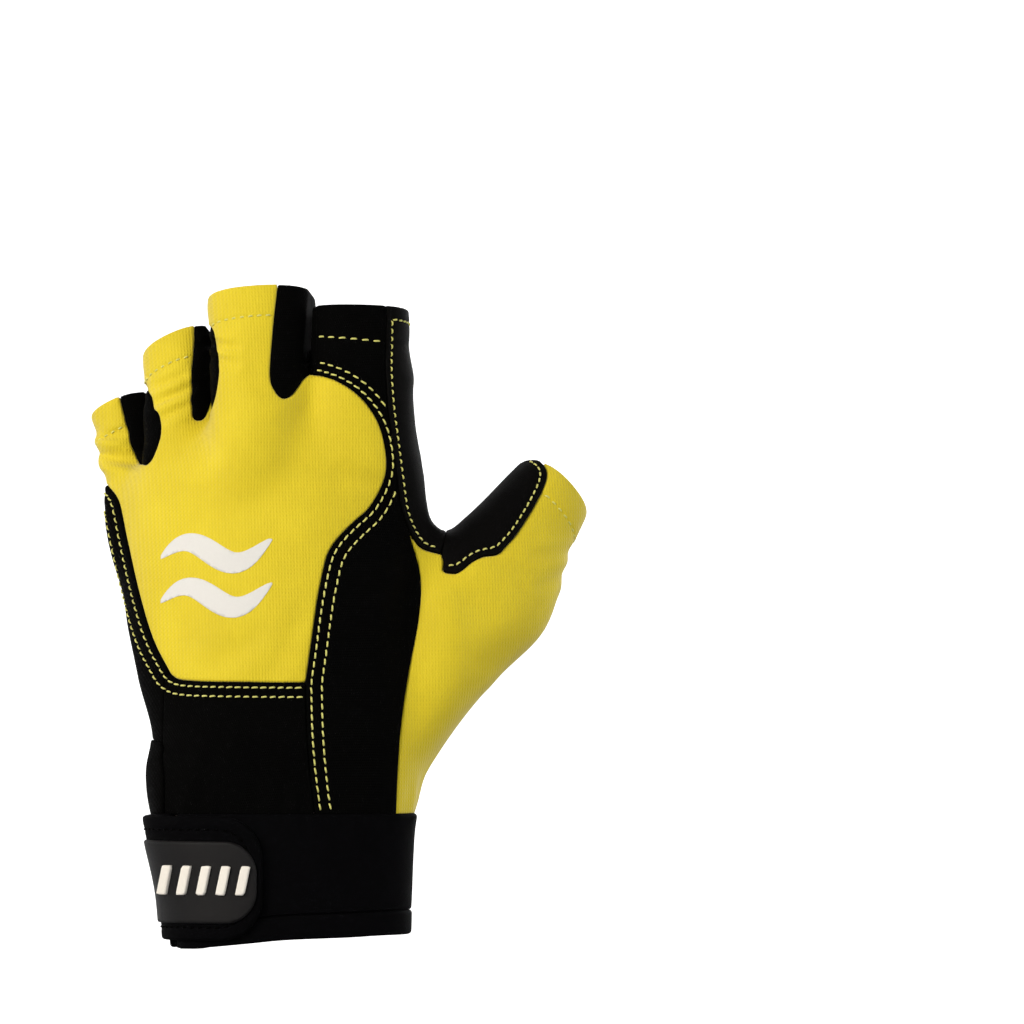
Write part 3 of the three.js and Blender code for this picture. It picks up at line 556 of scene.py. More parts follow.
# Rows of thread: the seam or level they follow, how far off it, the face, the panels they lie on,
# the least distance to those panels' edges, pitch and length of a stitch.
side_run = np.vstack([knots(SEAMS["yellow_right"]), knots(SEAMS["low"])])
foot_run = np.vstack([knots(SEAMS["yellow_bottom"]), knots(SEAMS["yellow_left"])])
strip_run = np.vstack([knots(SEAMS["strip_back"]), knots(SEAMS["strip_foot"]), [(50, 100)]])
outer_gap = 3.45 + 0.65 * ramp(126, 100, flat[:, 1])
ROWS = [
    dict(to=side_run, off=1.4, face="back", on=["index_back_panel"], edge=0.25, pitch=2.3, dash=1.85),
    dict(to=side_run, off=outer_gap, face="back", on=["index_back_panel"], edge=0.6, pitch=2.3, dash=1.85),
    dict(to=foot_run, off=1.45, face="back", on=["lower_back_panel", "ulnar_strip"], edge=0.5, pitch=2.25,
         dash=1.8),
    dict(to=foot_run, off=3.85, face="back", on=["lower_back_panel", "ulnar_strip"], edge=0.5, pitch=2.25,
         dash=1.8),
    dict(to=strip_run, off=1.3, face="back", on=["index_side_strip"], edge=1.0, pitch=1.97, dash=1.35,
         under=3.4),
    dict(to=knots(SEAMS["strip_palm"]), off=2.2, face="palm", on=["index_side_strip"], edge=1.0, pitch=1.97,
         dash=1.45, under=3.4),
    dict(to="rim", off=3.6, face="both", on=["index_side_strip"], edge=1.3, pitch=1.97, dash=1.5),
    dict(to=knots(SEAMS["patch_foot"][:-2]), off=1.6, face="back", on=["thumb_patch"], edge=1.0, pitch=2.0,
         dash=1.45),
    dict(to=knots(SEAMS["patch_palm"]), off=1.6, face="palm", on=["thumb_patch"], edge=1.0, pitch=2.0,
         dash=1.45),
    dict(to=knots([(2, 164.3), (8.5, 163.8), (17, 163.3), (26.7, 162.4), (36, 161.6)]), off=7, face="back",
         on=["index_back_panel"], edge=0.5, pitch=2.6, dash=2.05),
    dict(to="rim", off=8.6, face="both", on=["back_panel"], edge=0.5, pitch=2.1, dash=1.5),
    dict(to="rim", off=8.6, face="both", on=["thumb_panel"], edge=0.5, pitch=2.3, dash=1.7),
    dict(to="rim", off=7.2, face="both", on=["palm_panel"], edge=0.5, pitch=2.2, dash=1.7),
]
row_fields, row_masks = [], []
for row in ROWS:
    field = (rim if isinstance(row["to"], str) else to_line(flat, row["to"])) - row["off"]
    others = np.max([fields[n] for n in fields if n not in row["on"]], axis=0)
    mask = np.minimum.reduce([-others - row["edge"], rim - row.get("under", 0.9), -cuff_top - 0.4])
    if row["face"] == "back":
        field = field + 40 * palmward
        mask = np.minimum(mask, dorsal - 0.3)
    elif row["face"] == "palm":
        field = field + 40 * (1 - palmward)
        mask = np.minimum(mask, -dorsal - 0.3)
    row_fields.append(field)
    row_masks.append(mask)

COLUMNS = ["x", "y", "z", "nx", "ny", "nz", "f", "rim", "hole_x", "hole_z", "hole_r", "mask"]
COL = {name: i for i, name in enumerate(COLUMNS)}
ROW = len(COLUMNS)


def sheet_data(field):
    """All that is known at each point of the form, one row for a point."""
    return np.column_stack([points, normal, field, rim, hole_x, hole_z, hole_r, field, *row_fields])


def split(data, tri, values, keep_low=True):
    """Triangles cut along values = 0, so that an edge runs there; the low side can be left out."""
    side = values > 0
    state = side[tri].sum(axis=1)
    whole = tri[(state == 3) | ((state == 0) & keep_low)]
    mixed = tri[(state == 1) | (state == 2)]
    if not len(mixed):
        return data, whole
    lone_up = side[mixed].sum(axis=1) == 1
    lone = np.where(lone_up[:, None], side[mixed], ~side[mixed]).argmax(axis=1)
    rows = np.arange(len(mixed))
    a = mixed[rows, lone]
    b = mixed[rows, (lone + 1) % 3]
    c = mixed[rows, (lone + 2) % 3]
    pairs = np.sort(np.vstack([np.column_stack([a, b]), np.column_stack([a, c])]), axis=1)
    unique, inverse = np.unique(pairs, axis=0, return_inverse=True)
    inverse = inverse.reshape(-1)
    v0, v1 = values[unique[:, 0]], values[unique[:, 1]]
    t = np.clip(v0 / np.where(v0 == v1, 1, v0 - v1), 0.02, 0.98)[:, None]
    fresh = data[unique[:, 0]] * (1 - t) + data[unique[:, 1]] * t
    ab = len(data) + inverse[:len(a)]
    ac = len(data) + inverse[len(a):]
    data = np.vstack([data, fresh])
    tips = np.column_stack([a, ab, ac])
    rest1 = np.column_stack([ab, b, c])
    rest2 = np.column_stack([ab, c, ac])
    if keep_low:
        parts = [whole, tips, rest1, rest2]
    else:
        parts = [whole, tips[lone_up], rest1[~lone_up], rest2[~lone_up]]
    return data, np.vstack(parts)


def compact(data, tri):
    """Only the points that the triangles use."""
    used, inverse = np.unique(tri, return_inverse=True)
    return data[used], inverse.reshape(tri.shape)


def biggest(data, tri, least=0.12):
    """Leaves out crumbs, each of less than this part of the largest region."""
    parent = np.arange(len(data))
    e = edges_of(tri)
    for _ in range(200):
        low = np.minimum(parent[e[:, 0]], parent[e[:, 1]])
        before = parent.copy()
        np.minimum.at(parent, e[:, 0], low)
        np.minimum.at(parent, e[:, 1], low)
        parent = parent[parent]
        if np.array_equal(before, parent):
            break
    owner = parent[tri[:, 0]]
    count = np.bincount(owner, minlength=len(data))
    return compact(data, tri[count[owner] >= least * count.max()])


def band(field, levels, holes=False):
    """The part of the form where field is positive, with edges along the levels."""
    data, tri = sheet_data(field), tris
    if holes:
        for angle in np.arange(6) * math.pi / 6:
            line = math.cos(angle) * data[:, COL["hole_x"]] + math.sin(angle) * data[:, COL["hole_z"]]
            data, tri = split(data, tri, np.where(data[:, COL["hole_r"]] < 2.4, line, 1.0))
        for radius in (1.6, 1.1, 0.9):
            data, tri = split(data, tri, np.hypot(data[:, COL["hole_x"]], data[:, COL["hole_z"]])
                              + 50 * (data[:, COL["hole_r"]] > 4) - radius)
        r = np.hypot(data[:, COL["hole_x"]], data[:, COL["hole_z"]])
        close = data[:, COL["hole_r"]] < 3
        data[:, COL["f"]] = np.where(close & (data[:, COL["f"]] > -1.5), r - HOLE, data[:, COL["f"]])
    data, tri = split(data, tri, data[:, COL["f"]], keep_low=False)
    data, tri = compact(data, tri)
    data, tri = biggest(data, tri)
    for column, level in levels:
        data, tri = split(data, tri, data[:, column] - level)
    return data, tri


EDGE_LEVELS = [(COL["f"], v) for v in (0.12, 0.3, 0.6, 1.1, 2.0)]


def edge_round(f, radius=0.6, sink=0.3, reach=1.6):
    """How far the cloth falls away towards its edge: a rounded fold and a shallow valley."""
    f = np.maximum(f, 0)
    g = np.clip(radius - f, 0, radius)
    return -(radius - np.sqrt(np.maximum(radius * radius - g * g, 0))) - sink * np.exp(-f / reach)


def round_off(ob, angle):
    """Smooth faces, with a sharp edge only where they meet at more than the angle."""
    ob.data.polygons.foreach_set("use_smooth", np.ones(len(ob.data.polygons), bool))
    ob.data.set_sharp_from_angle(angle=math.radians(angle))


def solid(name, data, tri, outer, inner, material, node=None, angle=50):
    """A closed piece of cloth between two offsets of the form."""
    p, n = data[:, :3], unit(data[:, 3:6])
    top = p + n * np.asarray(outer)[:, None]
    low = p + n * np.asarray(inner)[:, None]
    e = np.vstack([tri[:, [0, 1]], tri[:, [1, 2]], tri[:, [2, 0]]])
    key = np.sort(e, axis=1)
    _, first, count = np.unique(key, axis=0, return_index=True, return_counts=True)
    open_edges = e[first[count == 1]]
    m = len(data)
    verts = np.vstack([top, low])
    rimq = np.column_stack([open_edges[:, 1], open_edges[:, 0], open_edges[:, 0] + m, open_edges[:, 1] + m])
    verts[:, 0] -= WRIST_X
    verts *= MM
    faces = tri.tolist() + (tri[:, ::-1] + m).tolist() + rimq.tolist()
    ob = new_mesh(name, verts.tolist(), faces)
    round_off(ob, angle)
    ob.data.materials.append(material)
    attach(ob, "root")
    if node:
        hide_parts(node)
    return ob


# Thread
def chains(segments):
    """Joins loose segments, given as pairs of point keys, into runs of keys."""
    links = {}
    for a, b in segments:
        links.setdefault(a, []).append(b)
        links.setdefault(b, []).append(a)
    seen, runs = set(), []
    starts = [k for k, v in links.items() if len(v) == 1] + list(links)
    for start in starts:
        if start in seen:
            continue
        run, at = [start], start
        seen.add(start)
        while True:
            ahead = [k for k in links[at] if k not in seen]
            if not ahead:
                if len(run) > 4 and start in links[at]:
                    run.append(start)
                break
            at = ahead[0]
            seen.add(at)
            run.append(at)
        runs.append(run)
    return runs


def iso_runs(data, tri, values, least=6.0):
    """Runs of surface points and normals along values = 0 on a sheet."""
    side = values > 0
    state = side[tri].sum(axis=1)
    mixed = tri[(state == 1) | (state == 2)]
    place, segments = {}, []
    for t in mixed:
        ends = []
        for a, b in ((t[0], t[1]), (t[1], t[2]), (t[2], t[0])):
            if side[a] != side[b]:
                key = (min(a, b), max(a, b))
                if key not in place:
                    w = values[key[0]] / (values[key[0]] - values[key[1]])
                    place[key] = data[key[0]] * (1 - w) + data[key[1]] * w
                ends.append(key)
        segments.append(ends)
    out = []
    for run in chains(segments):
        pts = np.array([place[k] for k in run])
        step = np.linalg.norm(np.diff(pts[:, :3], axis=0), axis=1)
        if step.sum() >= least:
            out.append(pts)
    return out


def resampled(run, pitch):
    """A run with points at even steps of about the pitch."""
    step = np.r_[0, np.cumsum(np.linalg.norm(np.diff(run[:, :3], axis=0), axis=1))]
    count = max(int(step[-1] / pitch), 1)
    at = np.linspace(0, step[-1], count + 1)
    cols = [np.interp(at, step, run[:, i]) for i in range(run.shape[1])]
    return np.column_stack(cols)


def stitches(runs, lift, pitch=2.3, dash=1.8, thick=THREAD, sides=6, rows=6):
    """Every stitch is a short bowed length of thread whose ends dip into the cloth."""
    rng = np.random.default_rng(len(runs) * 7 + int(lift * 100) + 3)
    a = np.linspace(0, 2 * math.pi, sides, endpoint=False)
    s = np.linspace(-1, 1, rows)
    verts, faces = [], []
    for run in runs:
        fine = resampled(run, 0.6)
        if len(fine) > 8:
            for _ in range(3):
                fine[1:-1, :6] = (fine[:-2, :6] + fine[2:, :6] + 2 * fine[1:-1, :6]) / 4
        pts = resampled(fine, pitch)
        for i in range(len(pts) - 1):
            p, q = pts[i, :3], pts[i + 1, :3]
            n = unit((pts[i, 3:6] + pts[i + 1, 3:6])[None])[0]
            mid = (p + q) / 2
            t = unit((q - p)[None])[0]
            b = unit(np.cross(n, t)[None])[0]
            t = unit((t + b * rng.uniform(0.05, 0.17))[None])[0]
            b = np.cross(n, t)
            half = dash / 2 * rng.uniform(0.93, 1.05)
            base = len(verts)
            for k in s:
                bow = lift + thick * 0.9 * (1 - k * k) - thick * 1.3 * k**6
                r = thick * (1 - 0.35 * k**4)
                c = mid + t * (half * k) + n * bow
                for ang in a:
                    verts.append(c + b * (r * math.cos(ang)) + n * (r * 0.85 * math.sin(ang)))
            for k in range(rows - 1):
                for j in range(sides):
                    m = (j + 1) % sides
                    faces.append((base + k * sides + j, base + k * sides + m,
                                  base + (k + 1) * sides + m, base + (k + 1) * sides + j))
            faces.append(tuple(base + j for j in range(sides))[::-1])
            faces.append(tuple(base + (rows - 1) * sides + j for j in range(sides)))
    return verts, faces


# Materials
def linear(code):
    """An sRGB hex colour as linear RGBA."""
    rgb = [int(code[i:i + 2], 16) / 255 for i in (1, 3, 5)]
    return (*[c / 12.92 if c <= 0.04045 else ((c + 0.055) / 1.055) ** 2.4 for c in rgb], 1)


def add(tree, kind, inputs=None, stops=None, **settings):
    """A node with its settings, its inputs as plain values or other nodes' outputs, and colour stops."""
    node = tree.nodes.new(kind)
    for key, value in settings.items():
        setattr(node, key, value)
    for key, value in (inputs or {}).items():
        if isinstance(value, bpy.types.NodeSocket):
            tree.links.new(value, node.inputs[key])
        else:
            node.inputs[key].default_value = value
    if stops:
        elements = node.color_ramp.elements
        while len(elements) < len(stops):
            elements.new(0.5)
        for element, (at, code) in zip(elements, stops):
            element.position, element.color = at, linear(code)
    return node


def surface(name, **values):
    """A material with plain values on its shader, and the place on the piece in millimetres."""
    mat = bpy.data.materials.new(name)
    mat.use_nodes = True
    tree = mat.node_tree
    shader = tree.nodes["Principled BSDF"]
    for key, value in values.items():
        shader.inputs[key.replace("_", " ")].default_value = value
    where = add(tree, "ShaderNodeTexCoord").outputs["Object"]
    mm = add(tree, "ShaderNodeVectorMath", {0: where, 1: (1000, 1000, 1000)}, operation="MULTIPLY")
    return mat, tree, shader, mm.outputs[0]


def finished(tree, shader, colour, roughness, height, depth, reach):
    """Gives the shader its colour, roughness and relief."""
    bump = add(tree, "ShaderNodeBump", {"Height": height, "Strength": depth, "Distance": reach * MM})
    tree.links.new(colour, shader.inputs["Base Color"])
    tree.links.new(roughness, shader.inputs["Roughness"])
    tree.links.new(bump.outputs[0], shader.inputs["Normal"])


def knit(name, stops, pitch, lean, depth, rough, sheen=0.25, specular=0.25):
    """Knitted cloth: upright ribs of loops of one pitch, soft mottling of its colour, and fine fuzz."""
    mottle, tuft, side_turn, course = 16.7, 0.385, 0.2, 1.25
    mat, tree, shader, mm = surface(name, Sheen_Weight=sheen, Specular_IOR_Level=specular)
    x, y, z = add(tree, "ShaderNodeSeparateXYZ", {0: mm}).outputs
    wide = add(tree, "ShaderNodeMath", {0: y, 1: side_turn, 2: x}, operation="MULTIPLY_ADD").outputs[0]
    tilted = add(tree, "ShaderNodeMath", {0: z, 1: lean, 2: wide}, operation="MULTIPLY_ADD").outputs[0]
    turns = add(tree, "ShaderNodeMath", {0: tilted, 1: 2 * math.pi / pitch}, operation="MULTIPLY").outputs[0]
    rib = add(tree, "ShaderNodeMath", {0: turns}, operation="SINE").outputs[0]
    rise = 2 * math.pi / (pitch * course)
    rows = add(tree, "ShaderNodeMath", {0: z, 1: rise}, operation="MULTIPLY").outputs[0]
    row = add(tree, "ShaderNodeMath", {0: rows}, operation="SINE").outputs[0]
    loops = add(tree, "ShaderNodeMath", {0: rib, 1: row, 2: rib}, operation="MULTIPLY_ADD").outputs[0]
    cloud = add(tree, "ShaderNodeTexNoise", {"Vector": mm, "Scale": 1 / mottle, "Detail": 3}).outputs[0]
    fuzz = add(tree, "ShaderNodeTexNoise", {"Vector": mm, "Scale": 1 / tuft, "Detail": 2}).outputs[0]
    height = add(tree, "ShaderNodeMath", {0: loops, 1: 0.35, 2: fuzz}, operation="MULTIPLY_ADD").outputs[0]
    low = add(tree, "ShaderNodeMath", {0: height, 1: 0.2}, operation="MULTIPLY").outputs[0]
    mix = add(tree, "ShaderNodeMath", {0: cloud, 1: 0.7, 2: low}, operation="MULTIPLY_ADD").outputs[0]
    colour = add(tree, "ShaderNodeValToRGB", {"Fac": mix}, stops).outputs[0]
    dull = add(tree, "ShaderNodeMath", {0: fuzz, 1: 0.16, 2: rough - 0.08}, operation="MULTIPLY_ADD")
    finished(tree, shader, colour, dull.outputs[0], height, depth, 0.2)
    return mat


def grain(name, stops, size, depth, rough, sheen=0.0, specular=0.3, flecks=0.0):
    """Suede, leather, rubber or neoprene: fine grain of one size over broad clouds, with any dark flecks."""
    blotch, fleck = 14.3, 0.909
    mat, tree, shader, mm = surface(name, Sheen_Weight=sheen, Specular_IOR_Level=specular)
    fine = add(tree, "ShaderNodeTexNoise", {"Vector": mm, "Scale": 1 / size, "Detail": 5, "Roughness": 0.7})
    fine = fine.outputs[0]
    cloud = add(tree, "ShaderNodeTexNoise", {"Vector": mm, "Scale": 1 / blotch, "Detail": 3}).outputs[0]
    low = add(tree, "ShaderNodeMath", {0: cloud, 1: 0.45}, operation="MULTIPLY").outputs[0]
    mix = add(tree, "ShaderNodeMath", {0: fine, 1: 0.6, 2: low}, operation="MULTIPLY_ADD").outputs[0]
    if flecks:
        cells = add(tree, "ShaderNodeTexNoise",
                    {"Vector": mm, "Scale": 1 / fleck, "Detail": 4, "Roughness": 0.8})
        dark = add(tree, "ShaderNodeMapRange", {"Value": cells.outputs[0], "From Min": 0.3, "From Max": 0.44,
                                                "To Min": -flecks, "To Max": 0.0})
        mix = add(tree, "ShaderNodeMath", {0: mix, 1: dark.outputs[0]}, operation="ADD").outputs[0]
    colour = add(tree, "ShaderNodeValToRGB", {"Fac": mix}, stops).outputs[0]
    dull = add(tree, "ShaderNodeMath", {0: fine, 1: 0.2, 2: rough - 0.1}, operation="MULTIPLY_ADD").outputs[0]
    finished(tree, shader, colour, dull, fine, depth, 0.3)
    return mat


# Every pitch and grain size is in millimetres.
MATERIALS = {
    # Dyed polyester and elastane knit: fine upright ribs, dry and softly fuzzy. The real loops are half
    # as wide, and are drawn coarser so that they show.
    "yellow": knit("yellow_stretch_knit", [(0.25, "#CDB716"), (0.55, "#D9C31C"), (0.85, "#E4CF2A")],
                   0.8, 0.0, 0.5, 0.62, sheen=0.3, specular=0.2),
    # The same knit dyed black, with leaning ribs: it takes up nearly all light and has no shine.
    "stretch": knit("black_stretch_knit", [(0.2, "#010101"), (0.9, "#030303")], 0.55, 0.4, 0.45, 0.8,
                    sheen=0.0, specular=0.03),
    # Coated and embossed synthetic leather: a faint soft shine on a fine pebbled grain.
    "leather": grain("black_synthetic_leather", [(0.2, "#010101"), (0.9, "#040303")], 0.455, 0.4, 0.72,
                     specular=0.06),
    # Brushed microfibre suede: a short grey nap with darker flecks and no shine.
    "suede": grain("grey_synthetic_suede",
                   [(0.1, "#4C4546"), (0.38, "#7E7374"), (0.6, "#8F8586"), (0.9, "#A19899")],
                   0.588, 0.5, 0.92, sheen=0.15, specular=0.08, flecks=0.28),
    # Foamed rubber faced with brushed jersey: an even, dull black.
    "neoprene": grain("black_neoprene", [(0.2, "#010102"), (0.9, "#040406")], 0.333, 0.35, 0.85,
                      specular=0.04),
    # Moulded rubber: smooth and dark grey, with a weak broad shine.
    "rubber": grain("dark_grey_moulded_rubber", [(0.2, "#0A090A"), (0.9, "#0E0D0F")], 0.833, 0.12, 0.6,
                    specular=0.18),
    # Moulded rubber filled with off-white pigment, for the raised bars.
    "mark": grain("off_white_moulded_rubber", [(0.2, "#E0DBD1"), (0.9, "#F0ECE4")], 0.625, 0.1, 0.55,
                  specular=0.25),
    # Screen-printed rubbery ink: an even white film with a slight shine.
    "print": grain("white_screen_print", [(0.2, "#D2D1CE"), (0.9, "#DCDBD8")], 0.625, 0.12, 0.6,
                   specular=0.2),
    # Calendered grip sheet: black, slightly warm, with a fine dull grain.
    "grip": grain("black_grip_sheet", [(0.2, "#040303"), (0.9, "#0B0A09")], 0.417, 0.3, 0.7,
                  specular=0.12),
    # Grip ribs moulded smooth, so that they glint where the sheet stays dull.
    "rib": grain("glossy_black_grip_ribs", [(0.2, "#060606"), (0.9, "#0C0C0C")], 0.667, 0.1, 0.25,
                 specular=0.6),
    # Twisted polyester thread: pale yellow, with the slanted lines of its twist.
    "thread": knit("pale_yellow_thread", [(0.2, "#D8D56C"), (0.8, "#EFEC90")], 0.3, 1.0, 0.6, 0.6,
                   sheen=0.1),
}

print("panels")
threads_v, threads_f = [], []


def sew(runs, lift, pitch, dash):
    """Adds a row of stitches to the one piece that holds the seams' thread."""
    v, fcs = stitches(runs, lift, pitch, dash)
    base = len(threads_v)
    threads_v.extend(v)
    threads_f.extend(tuple(i + base for i in face) for face in fcs)


everywhere = sheet_data(fields["palm_panel"])
for i, row in enumerate(ROWS):
    everywhere[:, COL["mask"]] = row_masks[i]
    runs = []
    for run in iso_runs(everywhere, tris, row_fields[i]):
        good = run[:, COL["mask"]] > 0
        cuts = np.flatnonzero(np.diff(good.astype(int))) + 1
        for piece in np.split(np.arange(len(run)), cuts):
            if good[piece[0]] and len(piece) > 4:
                runs.append(run[piece])
    proud = PANELS.get(row["on"][0], dict(proud=0.0))["proud"]
    sew(runs, proud - 0.1, row["pitch"], row["dash"])


def panel_top(data, proud, rows):
    """The outer side of a panel: its edge, the channels under its stitches and its hems."""
    f = data[:, COL["f"]]
    outer = proud + edge_round(f, sink=0.35 if proud <= 0.1 else 0.12)
    for i in rows:
        outer -= 0.2 * np.exp(-(data[:, ROW + i] / 0.45) ** 2)
    hem = [ROWS[i]["off"] for i in rows if isinstance(ROWS[i]["to"], str) and ROWS[i]["off"] > 5]
    if hem:
        outer += 0.25 * ramp(hem[0] + 0.6, hem[0] - 0.6, data[:, COL["rim"]])
    return outer


for name, field in fields.items():
    spec = PANELS.get(name, dict(look="suede", proud=0.0))
    rows = [i for i, row in enumerate(ROWS) if name in row["on"]]
    levels = EDGE_LEVELS + [(ROW + i, v) for i in rows for v in (-0.4, 0, 0.4)]
    data, tri = band(field, levels, holes=name == "palm_panel")
    outer = panel_top(data, spec["proud"], rows)
    look = spec["look"]
    ob = solid(name, data, tri, outer, np.full(len(data), -CLOTH), MATERIALS[look], name)


def thread_piece(name, verts, faces, material="thread"):
    """Threads or ribs as one piece."""
    v = np.array(verts)
    v[:, 0] -= WRIST_X
    ob = new_mesh(name, (v * MM).tolist(), faces)
    ob.data.polygons.foreach_set("use_smooth", np.ones(len(ob.data.polygons), bool))
    ob.data.materials.append(MATERIALS[material])
    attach(ob, "root")
    return ob


# The print on the back: two plain waves
print("print")


WAVE_LEFT, WAVE_LONG, WAVE_RISE = -31.5, 29.5, 3.6
WAVE_HIGH, WAVE_LENGTH, WAVE_HALF = 3.4, 27, 2.9


def wave(base_z):
    """A ribbon along a sine wave with tapered ends, as seen from the back."""
    t = np.linspace(0, 1, 60)
    x = WAVE_LEFT + WAVE_LONG * t
    z = base_z + WAVE_RISE * t + WAVE_HIGH * np.sin(2 * math.pi * (x - WAVE_LEFT) / WAVE_LENGTH)
    middle = np.column_stack([x, z])
    along = np.gradient(middle, axis=0)
    side = unit(np.column_stack([-along[:, 1], along[:, 0]]))
    half = (WAVE_HALF * np.sin(math.pi * t) ** 0.75 + 0.12)[:, None]
    return np.vstack([middle + side * half, (middle - side * half)[::-1]])


for i, base_z in enumerate((99, 87.5)):
    over = np.where(np.abs(flat[:, 0] + 17) < 25, inside(flat, wave(base_z)), -9)
    data, tri = band(np.minimum(over, dorsal), [])
    height = -0.35 * np.exp(-to_line(data[:, [0, 2]], side_run) / 1.6)
    solid(f"wave_print_{i + 1}", data, tri, height + 0.09, height + 0.02, MATERIALS["print"],
          angle=180)

# Cuff, its turned edge, the strap, the tab and its bars
print("cuff")
BINDING = 6.4
hem_line = cuff_low - BINDING


def flat_at(height):
    """Where the points of the form are, seen from the back, once they are pushed out by a height."""
    return (points + normal * height)[:, [0, 2]]


def layer(name, field, low, high, look, radius=0.7, levels=(), top=None):
    """A band of cloth or rubber from a low to a high offset of the form, with its edge rounded."""
    data, tri = band(field, EDGE_LEVELS + list(levels))
    f = data[:, COL["f"]]
    outer = high + edge_round(f, radius, 0.1, 1.0) + (0 if top is None else top(data))
    inner = np.minimum(np.full(len(data), low), outer - 0.3)
    ob = solid(name, data, tri, outer, inner, MATERIALS[look], name)
    return data, tri


SLIT_X, SLIT_HALF = -27.4, 0.9
slit = np.where(dorsal > -2, np.abs(flat[:, 0] - SLIT_X) - SLIT_HALF, 9)
layer("cuff", np.minimum.reduce([cuff_top, hem_line, slit]), -1.6, 0.9, "neoprene")
layer("cuff_binding", np.minimum.reduce([cuff_low, -hem_line, slit]), -1.6, 1.05, "neoprene", 0.9)


def rounded_band(at, end_x, low, high, corner, root_x):
    """Distance inside a band on the back with a round end, which runs round the little-finger edge."""
    a = np.linspace(-math.pi / 2, math.pi / 2, 25)
    z = np.where(a < 0, low + corner, high - corner) + corner * np.sin(a)
    x = end_x - corner + corner * np.cos(a)
    ring = np.vstack([[(-80, low)], np.column_stack([x, z]), [(-80, high)]])
    back = inside(at, ring)
    palm = inside(at, np.array([(-80, low), (root_x, low), (root_x, high), (-80, high)], float))
    return back * (1 - palmward) + palm * palmward


STRAP_ROW = 3.4  # its stitches' distance from the edge
strap_f = rounded_band(flat_at(2), -4.6, 0.2, 32.4, 11, -24)
strap_data, strap_tri = layer("strap", strap_f, 1.1, 3.0, "neoprene", 0.9,
                              [(COL["f"], STRAP_ROW + v) for v in (-0.3, 0, 0.3)],
                              lambda d: -0.2 * np.exp(-((d[:, COL["f"]] - STRAP_ROW) / 0.4) ** 2))
tab_f = rounded_band(flat_at(4), -6.1, 4.6, 25.9, 8.5, -26)
layer("strap_tab", tab_f, 2.6, 3.9, "rubber", 0.6)
BAR_X, BAR_PITCH, BAR_WIDE, BAR_LEAN, BAR_LOW, BAR_HIGH = -32.3, 5.15, 2.4, 1.6, 12, 19.6
for i in range(5):
    x = BAR_X + BAR_PITCH * i
    foot, head = [(x, BAR_LOW), (x + BAR_WIDE, BAR_LOW)], [(x + BAR_WIDE, BAR_HIGH), (x, BAR_HIGH)]
    bar = inside(flat_at(4.5), np.array(foot + [(a + BAR_LEAN, b) for a, b in head]))
    bar = np.minimum(bar, np.where(flat[:, 0] < 10, dorsal, -9))
    data, tri = band(bar, EDGE_LEVELS[:3])
    outer = 4.8 + edge_round(data[:, COL["f"]], 0.4, 0, 1)
    solid(f"tab_bar_{i + 1}", data, tri, outer, np.full(len(data), 3.8), MATERIALS["mark"],
          f"tab_bar_{i + 1}")

# The grip pad and its honeycomb of raised ribs
print("pad")
PAD_EDGE = [(-50, 124), (-47.5, 129), (-44.5, 131), (-41, 130), (-38, 126), (-35, 122.4), (-32.2, 123),
            (-29.6, 129.5), (-27.6, 135), (-25.2, 137.4), (-22.4, 136), (-20.2, 132.2), (-17.2, 130.3),
            (-14, 132), (-11.6, 137.4), (-9.8, 142.2), (-7.4, 144), (-5.2, 142.4), (-3.2, 138.2),
            (0, 135.2), (5, 134.5), (12, 135.4), (17.4, 136), (22, 134.4), (24.3, 130.6), (23, 126.4),
            (18, 123.4)]
PAD_FOOT = [(18, 123.4), (8, 119.8), (-8, 114.6), (-30.5, 107), (-44, 101.5), (-60, 97)]
pad_ring = outline([[(-60, 97)], [(-60, 122)], PAD_EDGE, PAD_FOOT])
pad_f = np.minimum(inside(flat_at(0.9), pad_ring), -dorsal)
data, tri = band(pad_f, EDGE_LEVELS + [(COL["f"], v) for v in (1.2, 1.6, 2.4)])
f = data[:, COL["f"]]
PAD_ROW = 1.6  # its stitches' distance from the edge
outer = 1.5 + edge_round(f, 0.6, 0.2, 1.2) - 0.25 * np.exp(-((f - PAD_ROW) / 0.4) ** 2)
pad = solid("grip_pad", data, tri, outer, np.full(len(data), 0.05), MATERIALS["grip"], "grip_pad")
sew(iso_runs(data, tri, f - PAD_ROW), 1.35, 2.3, 1.9)


def honeycomb(cell=4.9, turn=15, at_x=-10, at_z=122):
    """Edges of a honeycomb, as pairs of (x, z) points."""
    side = cell / math.sqrt(3)
    c, s = math.cos(math.radians(turn)), math.sin(math.radians(turn))
    found = []
    for row in range(-14, 15):
        for col in range(-16, 17):
            u = (col + 0.5 * (row % 2)) * cell
            v = row * side * 1.5
            top, right, low = (u, v + side), (u + cell / 2, v + side / 2), (u + cell / 2, v - side / 2)
            left = (u - cell / 2, v + side / 2)
            for p, q in ((top, right), (right, low), (top, left)):
                found.append([(u * c - v * s + at_x, u * s + v * c + at_z) for u, v in (p, q)])
    return np.array(found)


